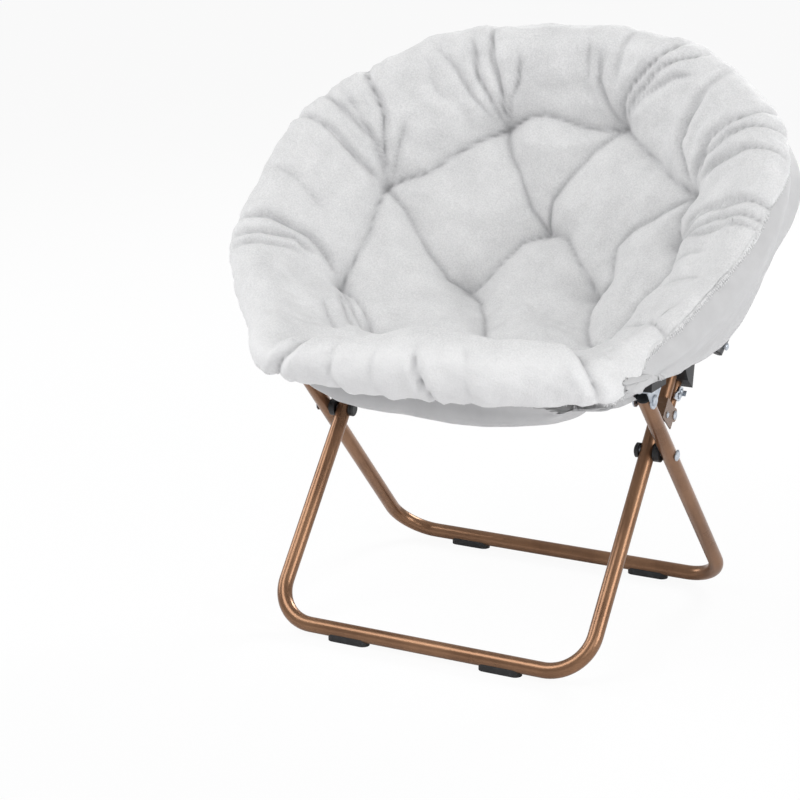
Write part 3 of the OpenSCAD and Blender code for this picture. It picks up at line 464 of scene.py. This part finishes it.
# Folds that fan over the roll, finer and sharper
fans = (
    (("shoulder_left", (-283, 194), (-320, 211), (-366, 236), (-400, 262)), 8, 8),
    (("shoulder_left", (-273, 197), (-282, 235), (-298, 259), (-317, 282), (-345, 330)), 9, 8),
    (("shoulder_left", (-312, 161), (-357, 187), (-400, 198), (-450, 205)), 9, 8),
    (("shoulder_left", (-299, 208), (-324, 229), (-360, 262)), 6, 7),
    (((-248, 147), (-249, 207), (-246, 240)), 6, 8),
    (((-327, 57), (-382, 84), (-430, 95)), 4, 12),
    (("hip_left", (-293, -19), (-332, 2), (-371, 3), (-405, 1), (-460, -12)), 9, 9),
    (((-306, -21), (-330, -21), (-354, -14), (-392, -30), (-455, -46)), 7, 7),
    (((-325, -36), (-347, -31), (-385, -51), (-440, -66)), 5, 7),
    (("hip_left", (-235, -88), (-196, -130)), 7, 7),
    (((-259, -64), (-240, -101), (-206, -146)), 7, 7),
    (((-270, -110), (-250, -140), (-215, -190)), 5, 9),
    (((-199, -290), (-225, -330), (-260, -352), (-300, -372)), 8, 10),
    (("crown_left", (-103, 314), (-123, 364), (-134, 420)), 9, 8),
    (("crown_left", (-120, 300), (-144, 328), (-160, 385)), 8, 8),
    (((-104, 266), (-152, 300), (-182, 334), (-225, 365)), 5, 10),
    (((-188, 285), (-209, 296), (-235, 345)), 4, 14),
    (("crown_left", (-87, 304), (-75, 331), (-74, 372)), 6, 9),
    (("crown_right", (76, 308), (64, 339), (70, 385)), 7, 8),
    (("crown_right", (104, 307), (124, 334), (167, 365), (215, 410)), 9, 8),
    (("crown_right", (130, 318), (179, 355), (228, 372), (262, 395)), 8, 8),
    (((112, 286), (145, 317), (197, 337), (250, 338)), 6, 9),
    (((46, 333), (49, 400)), 4, 12),
    (((91, 338), (102, 376), (116, 435)), 5, 10),
    (("shoulder_right", (217, 239), (230, 269), (263, 313), (300, 360)), 8, 9),
    (("shoulder_right", (250, 203), (279, 242), (338, 264), (390, 300)), 8, 8),
    (((245, 177), (265, 216), (312, 237), (382, 252), (440, 268)), 8, 8),
    (((247, 181), (285, 198), (350, 208), (430, 204)), 8, 8),
    (("hip_right", (275, 99), (322, 104), (419, 78), (460, 66)), 8, 8),
    (("hip_right", (252, 109), (296, 126), (392, 111), (455, 100)), 8, 8),
    (((250, 92), (291, 84), (361, 78), (430, 55)), 6, 7),
    (((240, 57), (287, 55), (325, 46)), 4, 10),
    (("hip_right", (272, 130), (333, 131), (420, 106)), 6, 8),
    (((220, 10), (262, 12), (310, 1), (350, -20)), 4.5, 12),
    (((214, -74), (281, -89), (337, -138), (380, -180)), 6, 12),
    (((230, -225), (280, -262), (325, -320)), 8, 10),
    (((16, -370), (28, -405), (52, -450), (60, -500)), 9, 10),
    (((-150, -330), (-158, -380), (-166, -440), (-168, -500)), 3.5, 13),
    (((120, -340), (128, -400), (126, -480)), 2.5, 14),
    (((-70, -350), (-72, -420), (-78, -500)), 2.5, 14))


def fold_path(stops):
    return np.array([tufts[s][:2] if isinstance(s, str) else s for s in stops], float)


def fold_distance(spot, path):
    """Distance of each spot from a path, and how far along the path its nearest point is."""
    best = np.full(spot.shape[:-1], 1e9)
    along = np.zeros(spot.shape[:-1])
    lengths = np.linalg.norm(np.diff(path, axis=0), axis=1)
    total, gone = lengths.sum(), 0.0
    for start, end, length in zip(path[:-1], path[1:], lengths):
        share = np.clip(((spot - start) @ (end - start)) / length ** 2, 0, 1)
        gap = np.linalg.norm(spot - start - share[..., None] * (end - start), axis=-1)
        nearer = gap < best
        best = np.where(nearer, gap, best)
        along = np.where(nearer, (gone + share * length) / total, along)
        gone += length
    return best, along


def slow_noise(points, scale, seed):
    """Smooth seeded noise between about -0.5 and 0.5, from waves that run every way."""
    chance = np.random.default_rng(seed)
    total = np.zeros(points.shape[:-1])
    for _ in range(26):
        way = chance.normal(size=3)
        way *= 2 * math.pi / (scale * chance.uniform(0.9, 2.2) * np.linalg.norm(way))
        total += np.sin(points @ way + chance.uniform(0, 2 * math.pi))
    return total * 0.085


around, rings = 520, 186
rim = SaucerRim(around)
face_shares = (0.0, 0.16, 0.3, 0.44, 0.58, 0.71, 0.82)
roll_parts = (0, 0.15, 0.3, 0.45, 0.6, 0.74, 0.88, 1)
hidden_shares = ((0.8, 58), (0.55, 64), (0.28, 63), (0.0, 60))
bands = np.array([rim.face(s) for s in face_shares] + [rim.to_seam(t) for t in roll_parts]
                 + [rim.past_seam(t, -5) for t in (0.3, 0.65, 1)]
                 + [rim.face(s, d) for s, d in hidden_shares])
hem_band = len(face_shares) + len(roll_parts) - 1
hem_ring = 146
band_at = np.interp(np.arange(rings + 1), (0, hem_ring, rings), (0, hem_band, len(bands) - 1))
shape = smooth_step(bands, band_at)

# Lay the pad out flat, so that folds are drawn in distances along the plush
ring_gaps = np.linalg.norm(np.diff(shape, axis=0), axis=2)
arc = np.vstack([np.zeros(around), np.cumsum(ring_gaps, axis=0)])
spoke = rim.place - dish_middle
spoke = np.stack([spoke[:, 0], spoke @ dish_up], -1)
spoke /= np.linalg.norm(spoke, axis=1, keepdims=True)
laid = arc[..., None] * spoke
ring_at = np.arange(rings + 1)[:, None]
seen = np.clip((hem_ring + 4 - ring_at) / 14, 0, 1)

# Press the tufts and folds in, each a soft hollow with a sharp crease down its middle. Where
# several meet, their depths join as cubes, and give way past the filling's own depth.
tuft_hollow, tuft_point, tuft_shade_width = 30, 9, 6
quilt_crease, quilt_shade_width, fan_shade_width = 5, 3.6, 3.4
press_easy, press_more = 26, 16
bell = np.zeros(arc.shape)
folds = np.zeros(arc.shape)
lifts = np.zeros(arc.shape)
# Painted shade is also drawn here: along the middle of each fold and round each tuft, the plush
# colour is marked to be darkened, standing in for the shade that gathers there
crease_shade = np.zeros(arc.shape)
nearest = np.full(arc.shape, 1e9)
for x, y, depth in tufts.values():
    gap = np.linalg.norm(laid - (x, y), axis=-1)
    bell += depth * (0.65 * np.exp(-(gap / tuft_hollow) ** 2)
                     + 0.35 * np.exp(-(gap / tuft_point) ** 2))
    nearest = np.minimum(nearest, gap)
    crease_shade = np.maximum(crease_shade, 1.2 * np.exp(-(gap / tuft_shade_width) ** 1.3))
for stops, depth, width in quilting:
    gap, along = fold_distance(laid, fold_path(stops))
    hold = 0.75 + 0.25 * np.abs(2 * along - 1) ** 2
    profile = 0.85 * np.exp(-gap / quilt_crease) + 0.45 * np.exp(-(gap / (0.8 * width)) ** 2)
    folds += (depth * hold * profile) ** 3
    nearest = np.minimum(nearest, gap)
    crease_shade = np.maximum(crease_shade, hold * np.exp(-(gap / quilt_shade_width) ** 1.4))
for stops, depth, width in fans:
    gap, along = fold_distance(laid, fold_path(stops))
    hold = np.clip(along * 7, 0.35, 1) * np.clip((1.04 - along) * 4, 0, 1)
    folds += (depth * hold * 1.2 * np.exp(-gap / (0.6 * width))) ** 3
    lifts = np.maximum(lifts, depth * hold * 0.4 * np.exp(-((gap - 1.7 * width) / width) ** 2))
    crease_shade = np.maximum(crease_shade, 0.09 * depth * hold * np.exp(-(gap / fan_shade_width) ** 1.4))
sink = bell + np.cbrt(folds) - lifts
more = press_more * (1 - np.exp(-(sink - press_easy) / press_more))
sink = np.where(sink > press_easy, press_easy + more, sink)
# The filling puffs up between the folds, in lumps of three sizes
puff_height, puff_width, flat_level = 13.0, 40, 8
puff = puff_height * (1 - np.exp(-(nearest / puff_width) ** 2)) - flat_level
plump = (puff + 5.0 * slow_noise(shape, 90, 1) + 3.0 * slow_noise(shape, 34, 2)
         + 1.4 * slow_noise(shape, 14, 3))
# The seam gathers the plush in small uneven pleats round the rim
pleats, wide_pleats, pleat_height = 61, 37, 1.5
pleat = np.arange(around) / around * 2 * math.pi
gather = pleat_height * (np.sin(pleat * pleats + 2.5 * np.sin(pleat * 5))
                         + 0.6 * np.sin(pleat * wide_pleats + 1.3))
near_seam = np.exp(-((ring_at - hem_ring) / 11) ** 2)
swell = (plump - sink + gather * near_seam) * seen
shape = shape + outward_normals(shape) * swell[..., None]
# Above the slots that the legs and brackets stand in, the pad stays clear of them
slot_x, slot_y, slot_half_wide, slot_half_long, slot_roof = 257, -31, 42, 147, 432.5
over_slot = ((np.abs(np.abs(shape[..., 0]) - slot_x) < slot_half_wide)
             & (np.abs(shape[..., 1] - slot_y) < slot_half_long))
shape[..., 2] = np.where(over_slot, np.maximum(shape[..., 2], slot_roof), shape[..., 2])

pad_mesh, ring_of, turn_of = ball_rings("plush_pad", around, rings)
pad_mesh.vertices.foreach_set("co", (shape[ring_of, turn_of] * mm).ravel())
for face in pad_mesh.polygons:
    face.use_smooth = True
# Painted shade: the crease marks are stored on the pad, so that its material darkens the plush in
# its folds and at its tufts
crease_shade_layer = pad_mesh.attributes.new("painted_crease_shade", "FLOAT", "POINT")
crease_shade_layer.data.foreach_set("value", (crease_shade * seen)[ring_of, turn_of])
# Painted light: the plush over the front lip is painted paler, as though more light fell on it,
# fading out towards the sides and in towards the dish's middle
lip_reach, roll_ring, roll_fade = 72, 84, 16
from_front = np.minimum(np.arange(around), around - np.arange(around))
lip_painted_light = (np.exp(-(from_front / lip_reach) ** 2)
             * np.clip((ring_at - roll_ring) / roll_fade, 0, 1))
lip_light_layer = pad_mesh.attributes.new("painted_lip_light", "FLOAT", "POINT")
lip_light_layer.data.foreach_set("value", lip_painted_light[ring_of, turn_of])
plush_pad = bpy.data.objects.new("plush_pad", pad_mesh)
scene.collection.objects.link(plush_pad)

# Pile: short fibres in small lying tufts, lighter at the tips, with slow clouds where a hand
# has brushed them
piled, pile_in, pile_out = start_effect(
    "lying_pile",
    [("Place", "NodeSocketVector", None), ("Shade Colour", "NodeSocketColor", (0.7, 0.7, 0.7, 1)),
     ("Tip Colour", "NodeSocketColor", (0.9, 0.9, 0.9, 1)),
     ("Pile Size", "NodeSocketFloat", 420.0)],
    [("Colour", "NodeSocketColor"), ("Height", "NodeSocketFloat")])
pile_bend = lay_nodes(piled, "ShaderNodeTexNoise", Scale=60.0, Detail=2.0)
piled.links.new(pile_in.outputs["Place"], pile_bend.inputs["Vector"])
pile_push = lay_nodes(piled, "ShaderNodeVectorMath", operation="MULTIPLY_ADD")
pile_push.inputs[1].default_value = (0.006, 0.006, 0.006)
piled.links.new(pile_bend.outputs["Color"], pile_push.inputs[0])
piled.links.new(pile_in.outputs["Place"], pile_push.inputs[2])
pile_tuft = lay_nodes(piled, "ShaderNodeTexNoise", Detail=4.0, Roughness=0.62)
piled.links.new(pile_push.outputs[0], pile_tuft.inputs["Vector"])
piled.links.new(pile_in.outputs["Pile Size"], pile_tuft.inputs["Scale"])
pile_cloud = lay_nodes(piled, "ShaderNodeTexNoise", Scale=22.0, Detail=5.0, Roughness=0.6)
piled.links.new(pile_in.outputs["Place"], pile_cloud.inputs["Vector"])
pile_sum = lay_nodes(piled, "ShaderNodeMath", operation="MULTIPLY_ADD")
pile_sum.inputs[1].default_value = 0.55
piled.links.new(pile_cloud.outputs["Fac"], pile_sum.inputs[0])
piled.links.new(pile_tuft.outputs["Fac"], pile_sum.inputs[2])
pile_range = lay_nodes(piled, "ShaderNodeMapRange")
pile_range.inputs["From Min"].default_value = 0.48
pile_range.inputs["From Max"].default_value = 0.98
piled.links.new(pile_sum.outputs[0], pile_range.inputs["Value"])
pile_mix = lay_nodes(piled, "ShaderNodeMix", data_type="RGBA")
piled.links.new(pile_range.outputs[0], pile_mix.inputs[0])
piled.links.new(pile_in.outputs["Shade Colour"], pile_mix.inputs[6])
piled.links.new(pile_in.outputs["Tip Colour"], pile_mix.inputs[7])
piled.links.new(pile_mix.outputs[2], pile_out.inputs["Colour"])
piled.links.new(pile_sum.outputs[0], pile_out.inputs["Height"])

plush, plush_tree, plush_shader, plush_place = start_finish("white_plush")
pile = lay_nodes(plush_tree, "ShaderNodeGroup", node_tree=piled)
pile.inputs["Shade Colour"].default_value = (0.60, 0.602, 0.607, 1)
pile.inputs["Tip Colour"].default_value = (0.80, 0.80, 0.802, 1)
pile.inputs["Pile Size"].default_value = 430.0
plush_tree.links.new(plush_place, pile.inputs["Place"])
# Painted shade: the plush colour is multiplied darker by the stored crease marks, down the folds
# and at the tufts
plush_crease_shade = lay_nodes(plush_tree, "ShaderNodeAttribute", attribute_name="painted_crease_shade")
plush_crease_shaded = lay_nodes(plush_tree, "ShaderNodeMix", data_type="RGBA", blend_type="MULTIPLY")
plush_crease_shaded.inputs[7].default_value = (0.62, 0.62, 0.63, 1)
plush_tree.links.new(plush_crease_shade.outputs["Fac"], plush_crease_shaded.inputs[0])
# Painted light: on the front lip, the plush colour is mixed towards a paler white
plush_lip_light = lay_nodes(plush_tree, "ShaderNodeAttribute", attribute_name="painted_lip_light")
plush_lip_light_share = lay_nodes(plush_tree, "ShaderNodeMath", operation="MULTIPLY")
plush_lip_light_share.inputs[1].default_value = 0.62
plush_tree.links.new(plush_lip_light.outputs["Fac"], plush_lip_light_share.inputs[0])
plush_with_painted_light = lay_nodes(plush_tree, "ShaderNodeMix", data_type="RGBA")
plush_with_painted_light.inputs[7].default_value = (0.92, 0.92, 0.922, 1)
plush_tree.links.new(plush_lip_light_share.outputs[0], plush_with_painted_light.inputs[0])
plush_tree.links.new(pile.outputs["Colour"], plush_with_painted_light.inputs[6])
plush_tree.links.new(plush_with_painted_light.outputs[2], plush_crease_shaded.inputs[6])
plush_tree.links.new(plush_crease_shaded.outputs[2], plush_shader.inputs["Base Color"])
plush_shader.inputs["Roughness"].default_value = 0.95
plush_shader.inputs["Specular IOR Level"].default_value = 0.15
plush_shader.inputs["Sheen Weight"].default_value = 0.22
plush_shader.inputs["Sheen Roughness"].default_value = 0.5
plush_bump = lay_nodes(plush_tree, "ShaderNodeBump", Strength=0.55, Distance=0.0022)
plush_tree.links.new(pile.outputs["Height"], plush_bump.inputs["Height"])
plush_tree.links.new(plush_bump.outputs["Normal"], plush_shader.inputs["Normal"])
pad_mesh.materials.append(plush)
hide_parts("seat_cushion", "back_cushion", "gusset_cushion")
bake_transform(plush_pad)

# Pile fringe. The plush is cut a little outside the seam, so its fibres stand out in loose
# locks all along it, longest at the lip's two corners.
chance = np.random.default_rng(11)
locks, lock_shortest, lock_longest = 2600, 4.0, 8.5
lip_corner_right, lip_corner_left, corner_reach = 57, 478, 4.0
flat_from, flat_to, flat_share = 64, 205, 0.55
lock_turn = chance.integers(0, around, locks)
lock_ring = hem_ring - chance.integers(0, 4, locks)
lock_long = chance.uniform(lock_shortest, lock_longest, locks)
corner_gap = np.minimum(np.abs(lock_turn - lip_corner_right), np.abs(lock_turn - lip_corner_left))
lock_long *= 1 + np.exp(-(corner_gap / corner_reach) ** 2)
lock_long *= np.where((lock_turn > flat_from) & (lock_turn < flat_to), flat_share, 1)
lock_wide = 1.0 + 0.12 * lock_long
root = shape[lock_ring, lock_turn]
run = root - shape[lock_ring - 5, lock_turn]
run /= np.linalg.norm(run, axis=1, keepdims=True)
lift = outward_normals(shape)[lock_ring, lock_turn]
lean = run + lift * chance.uniform(0.0, 0.55, (locks, 1)) + chance.normal(0, 0.22, (locks, 3))
lean /= np.linalg.norm(lean, axis=1, keepdims=True)
across = np.cross(lean, lift)
across /= np.linalg.norm(across, axis=1, keepdims=True)
# A lock's columns: two ways across it, its length, and its middle, a quarter past the root
lock_frames = np.zeros((locks, 4, 4))
lock_frames[:, :3, 0] = across * lock_wide[:, None]
lock_frames[:, :3, 1] = np.cross(lean, across) * lock_wide[:, None]
lock_frames[:, :3, 2] = lean * lock_long[:, None]
lock_frames[:, :3, 3] = root + 0.25 * lean * lock_long[:, None]
lock_frames *= mm
lock_frames[:, 3, 3] = 1
bm = bmesh.new()
bmesh.ops.create_cone(bm, segments=4, radius1=1, radius2=0.15, depth=1, cap_ends=True)
lock_form = bpy.data.meshes.new("lock_form")
bm.to_mesh(lock_form)
bm.clear()
for lock_frame in lock_frames.tolist():
    lock = lock_form.copy()
    lock.transform(Matrix(lock_frame))
    bm.from_mesh(lock)
    bpy.data.meshes.remove(lock)
bpy.data.meshes.remove(lock_form)
for face in bm.faces:
    face.smooth = True
fringe_mesh = bpy.data.meshes.new("pile_fringe")
bm.to_mesh(fringe_mesh)
bm.free()
pile_fringe = bpy.data.objects.new("pile_fringe", fringe_mesh)
scene.collection.objects.link(pile_fringe)
fringe_mesh.materials.append(plush)
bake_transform(pile_fringe)

# Cover. Smooth woven polyester sewn to the plush along the rim, pulled down outside the hoop
# and under the seat, where it hangs as a slack pouch between the legs' slots.
under_rings = 94
pouch_drop, pouch_half = 44.0, 207.74
pouch_front, pouch_back, pouch_front_fade, pouch_back_fade = lip[1] - 14, 110.0, 56.4, 172


def pouch_at(p):
    side = np.clip(1 - (p[..., 0] / pouch_half) ** 4, 0, 1)
    front = np.clip((p[..., 1] - pouch_front) / pouch_front_fade, 0, 1)
    back = np.clip((pouch_back - p[..., 1]) / pouch_back_fade, 0, 1)
    return pouch_drop * side * front * back


def skirt_band(out_share, down_share):
    reach = rim.reach + 12.0 * out_share
    roll_turn = np.radians(rim.seam + (rim.tucked_under - rim.seam) * 0.6)
    under_roll = (rim.roll + 3) * np.sin(roll_turn) + 6 * down_share - 4
    deep = np.maximum(rim.skirt * down_share, under_roll)
    p = rim.place + rim.outward * reach[:, None] + dish_down * deep[:, None]
    if down_share == 1:
        p[:, 2] -= pouch_at(p)
    return p


def under_band(share):
    deep = rim.skirt + (dish_depth + pad_half - rim.skirt) * (1 - share ** 2)
    p = (dish_middle + (rim.place - dish_middle) * share
         + rim.outward * (rim.reach * share ** 4)[:, None] + dish_down * deep[:, None])
    p[:, 2] -= pouch_at(p)
    return p


cover_bands = np.array([rim.past_seam(-0.04, -2.5), rim.past_seam(0.03, 0), rim.past_seam(0.3, 2),
                        rim.past_seam(0.6, 2), skirt_band(0.3, 0.8), skirt_band(0, 1)]
                       + [under_band(s) for s in (0.87, 0.72, 0.55, 0.38, 0.2, 0.0)])
skirt_end, bottom = 50, 130
from_seam = np.linspace(0, bottom, under_rings + 1)[:, None]
cover_at = np.interp(from_seam[:, 0], (0, skirt_end, bottom), (0, 5, len(cover_bands) - 1))
cover_shape = smooth_step(cover_bands, cover_at)
cover_normal = -outward_normals(cover_shape[::-1])[::-1]
cover_normal[0] = cover_normal[1]
if cover_normal[under_rings // 2, 0] @ dish_down < 0:
    cover_normal *= -1
# Slack creases away from the seam, and the plush's own lumps close to it
seam_hold, cloth_lift = 14, 1.2
slack = (3.2 * slow_noise(cover_shape, 70, 5) + 1.6 * slow_noise(cover_shape, 26, 6))
tug = swell[hem_ring][None] * np.exp(-(from_seam / seam_hold) ** 2)
stand_off = slack * np.clip(from_seam / seam_hold, 0, 1) + tug + cloth_lift
cover_shape = cover_shape + cover_normal * stand_off[..., None]
# The cloth is drawn over the tubes, which stand out in it, and falls away on both sides. Their
# right halves: the rail from the front's middle to the hinge, the back hoop from hinge to top.
rail_level, bend_x, bend_y, bend_radius = 414, 198, -165.4, 80
rail_right = ([(0, bend_y - bend_radius, rail_level)]
              + [(bend_x + bend_radius * math.sin(a), bend_y - bend_radius * math.cos(a),
                  rail_level) for a in np.radians(np.arange(0, 91, 10))]
              + [(bend_x + bend_radius, 82, rail_level)])
arch_x, arch_y, arch_z, arch_radius, arch_back, arch_up = 134, 163.1, 581.1, 210, 105, 181.9
hoop_right = ([(304, 66.6, rail_level)]
              + [(arch_x + arch_radius * math.cos(a), arch_y + arch_back * math.sin(a),
                  arch_z + arch_up * math.sin(a)) for a in np.radians(np.arange(-13.7, 73, 6))]
              + [(198, 263, 754.2), (150, 269.8, 766), (101.4, 274, 774.2), (50, 277.8, 779.2),
                 (0, 279, 780.8)])
over_tube, tube_below, tube_beside = 15.2, -32, 42
sewn_down = np.clip((from_seam - 1) / 9, 0, 1)
for tube in (rail_right, hoop_right[3:]):
    for side in (1, -1):
        path = np.array(tube, float) * (side, 1, 1)
        for start, end in zip(path[:-1], path[1:]):
            reach = end - start
            share = np.clip(((cover_shape - start) @ reach) / (reach @ reach), 0, 1)
            away = cover_shape - start - share[..., None] * reach
            up = cover_normal - ((cover_normal @ reach) / (reach @ reach))[..., None] * reach
            up /= np.linalg.norm(up, axis=-1, keepdims=True) + 1e-6
            high = (away * up).sum(-1)
            wide = np.linalg.norm(away - high[..., None] * up, axis=-1)
            crown = np.sqrt(np.maximum(over_tube ** 2 - wide ** 2, 0))
            slope = over_tube * math.sqrt(2) - wide
            need = np.where(wide < over_tube * math.sqrt(0.5), crown, slope)
            near = (high > tube_below) & (wide < tube_beside)
            push = np.where(near, np.maximum(need - high, 0), 0)
            cover_shape = cover_shape + up * (push * sewn_down)[..., None]

# Cut the slots that the legs and brackets come up through
cover_mesh, cover_ring, cover_turn = ball_rings("cover_cloth", around, under_rings)
cover_mesh.vertices.foreach_set("co", (cover_shape[cover_ring, cover_turn] * mm).ravel())
slot_in, slot_out, slot_front, slot_rear = 0.2215, 0.2925, -0.172, 0.11
rail_side_in, rail_side_out, rail_over, sleeve_low, slot_high = 0.26, 0.31, 0.268, 0.408, 0.428
bm = bmesh.new()
bm.from_mesh(cover_mesh)
top_ring = set(np.flatnonzero(cover_ring == 0).tolist())
top = [v for v in bm.verts if v.index in top_ring]
bmesh.ops.delete(bm, geom=top, context="VERTS")
cuts = [((x, 0, 0), (1, 0, 0)) for x in (-slot_out, -slot_in, slot_in, slot_out)]
cuts += [((0, y, 0), (0, 1, 0)) for y in (slot_front, slot_rear)]
cuts += [((0, 0, sleeve_low), (0, 0, 1))]
for cut_place, cut_way in cuts:
    bmesh.ops.bisect_plane(bm, geom=bm.verts[:] + bm.edges[:] + bm.faces[:], plane_co=cut_place,
                           plane_no=cut_way, dist=1e-5)
cut = []
for face in bm.faces:
    spot = face.calc_center_median()
    under_slot = slot_in < abs(spot.x) < slot_out and slot_front < spot.y < slot_rear
    beside_rail = (rail_side_in < spot.x < rail_side_out and slot_front < spot.y < 0.0
                   and spot.z < sleeve_low)
    over_rail = rail_over < spot.x and spot.z > sleeve_low
    if (under_slot and spot.z < slot_high and not over_rail) or beside_rail:
        cut.append(face)
bmesh.ops.delete(bm, geom=cut, context="FACES")
bmesh.ops.recalc_face_normals(bm, faces=bm.faces)
for face in bm.faces:
    face.smooth = True
bm.to_mesh(cover_mesh)
bm.free()
cover_cloth = bpy.data.objects.new("cover_cloth", cover_mesh)
scene.collection.objects.link(cover_cloth)
wall = cover_cloth.modifiers.new("cloth_thickness", "SOLIDIFY")
wall.thickness = 0.0014
wall.offset = -1

# Plain weave, its threads too fine to see from across a room, under broad soft creases
woven, weave_in, weave_out = start_effect(
    "plain_weave", [("Place", "NodeSocketVector", None), ("Threads", "NodeSocketFloat", 1500.0)],
    [("Height", "NodeSocketFloat"), ("Slub", "NodeSocketFloat")])
weave_waves = []
for axis in ("X", "Y", "Z"):
    wave = lay_nodes(woven, "ShaderNodeTexWave", Distortion=0.4, bands_direction=axis)
    woven.links.new(weave_in.outputs["Place"], wave.inputs["Vector"])
    woven.links.new(weave_in.outputs["Threads"], wave.inputs["Scale"])
    weave_waves.append(wave)
weave_first = lay_nodes(woven, "ShaderNodeMath", operation="ADD")
woven.links.new(weave_waves[0].outputs["Fac"], weave_first.inputs[0])
woven.links.new(weave_waves[1].outputs["Fac"], weave_first.inputs[1])
weave_total = lay_nodes(woven, "ShaderNodeMath", operation="ADD")
woven.links.new(weave_first.outputs[0], weave_total.inputs[0])
woven.links.new(weave_waves[2].outputs["Fac"], weave_total.inputs[1])
woven.links.new(weave_total.outputs[0], weave_out.inputs["Height"])
weave_slub = lay_nodes(woven, "ShaderNodeTexNoise", Scale=45.0, Detail=6.0, Roughness=0.65)
woven.links.new(weave_in.outputs["Place"], weave_slub.inputs["Vector"])
woven.links.new(weave_slub.outputs["Fac"], weave_out.inputs["Slub"])


def weave_cloth(name, dark, light, bump):
    finish, tree, shader, place = start_finish(name)
    threads = lay_nodes(tree, "ShaderNodeGroup", node_tree=woven)
    tree.links.new(place, threads.inputs["Place"])
    shades = lay_nodes(tree, "ShaderNodeMix", data_type="RGBA")
    shades.inputs[6].default_value = (*dark, 1)
    shades.inputs[7].default_value = (*light, 1)
    tree.links.new(threads.outputs["Slub"], shades.inputs[0])
    tree.links.new(shades.outputs[2], shader.inputs["Base Color"])
    shader.inputs["Roughness"].default_value = 0.62
    shader.inputs["Specular IOR Level"].default_value = 0.35
    shader.inputs["Sheen Weight"].default_value = 0.1
    ripple = lay_nodes(tree, "ShaderNodeBump", Strength=bump, Distance=0.0003)
    tree.links.new(threads.outputs["Height"], ripple.inputs["Height"])
    tree.links.new(ripple.outputs["Normal"], shader.inputs["Normal"])
    return finish


cover_weave = weave_cloth("cover_weave", (0.50, 0.50, 0.505), (0.60, 0.60, 0.605), 0.2)
cover_mesh.materials.append(cover_weave)
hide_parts("seat_backing", "back_backing", "gusset_backing")
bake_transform(cover_cloth)

# Sleeves. Tubes of the cover's cloth, sewn into it along the front and round the back, that the
# rail and the back hoop are threaded through before the two are riveted together.
sleeve_out, sleeve_cloth = 0.0131, 0.001


def sew_sleeve(name, half_path, body, stands_for):
    half_path = np.array(half_path, float)
    stops = np.vstack([half_path[::-1] * (-1, 1, 1), half_path[1:]])
    path = smooth_step(stops, np.linspace(0, len(stops) - 1, 3 * len(stops)))
    line = bpy.data.curves.new(name + "_line", "CURVE")
    line.dimensions = "3D"
    line.bevel_depth = sleeve_out
    line.bevel_resolution = 6
    spline = line.splines.new("POLY")
    spline.points.add(len(path) - 1)
    for point, place in zip(spline.points, path):
        point.co = (*(place * mm), 1)
    pattern = bpy.data.objects.new(name + "_line", line)
    mesh = bpy.data.meshes.new_from_object(pattern)
    mesh.name = name
    bpy.data.objects.remove(pattern)
    bpy.data.curves.remove(line)
    for face in mesh.polygons:
        face.use_smooth = True
    mesh.materials.clear()
    mesh.materials.append(cover_weave)
    sleeve = bpy.data.objects.new(name, mesh)
    scene.collection.objects.link(sleeve)
    wall = sleeve.modifiers.new("cloth_thickness", "SOLIDIFY")
    wall.thickness = sleeve_cloth
    wall.offset = -1
    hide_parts(stands_for)
    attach(sleeve, body)


slot_end = (bend_x + bend_radius, -150, rail_level)
sew_sleeve("rail_sleeve", rail_right[:-1] + [slot_end], "seat_hoop", "seat_sleeve")
sew_sleeve("hoop_sleeve", hoop_right[:4:-1], "back_hoop", "back_sleeve")

bpy.context.view_layer.update()
low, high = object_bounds()
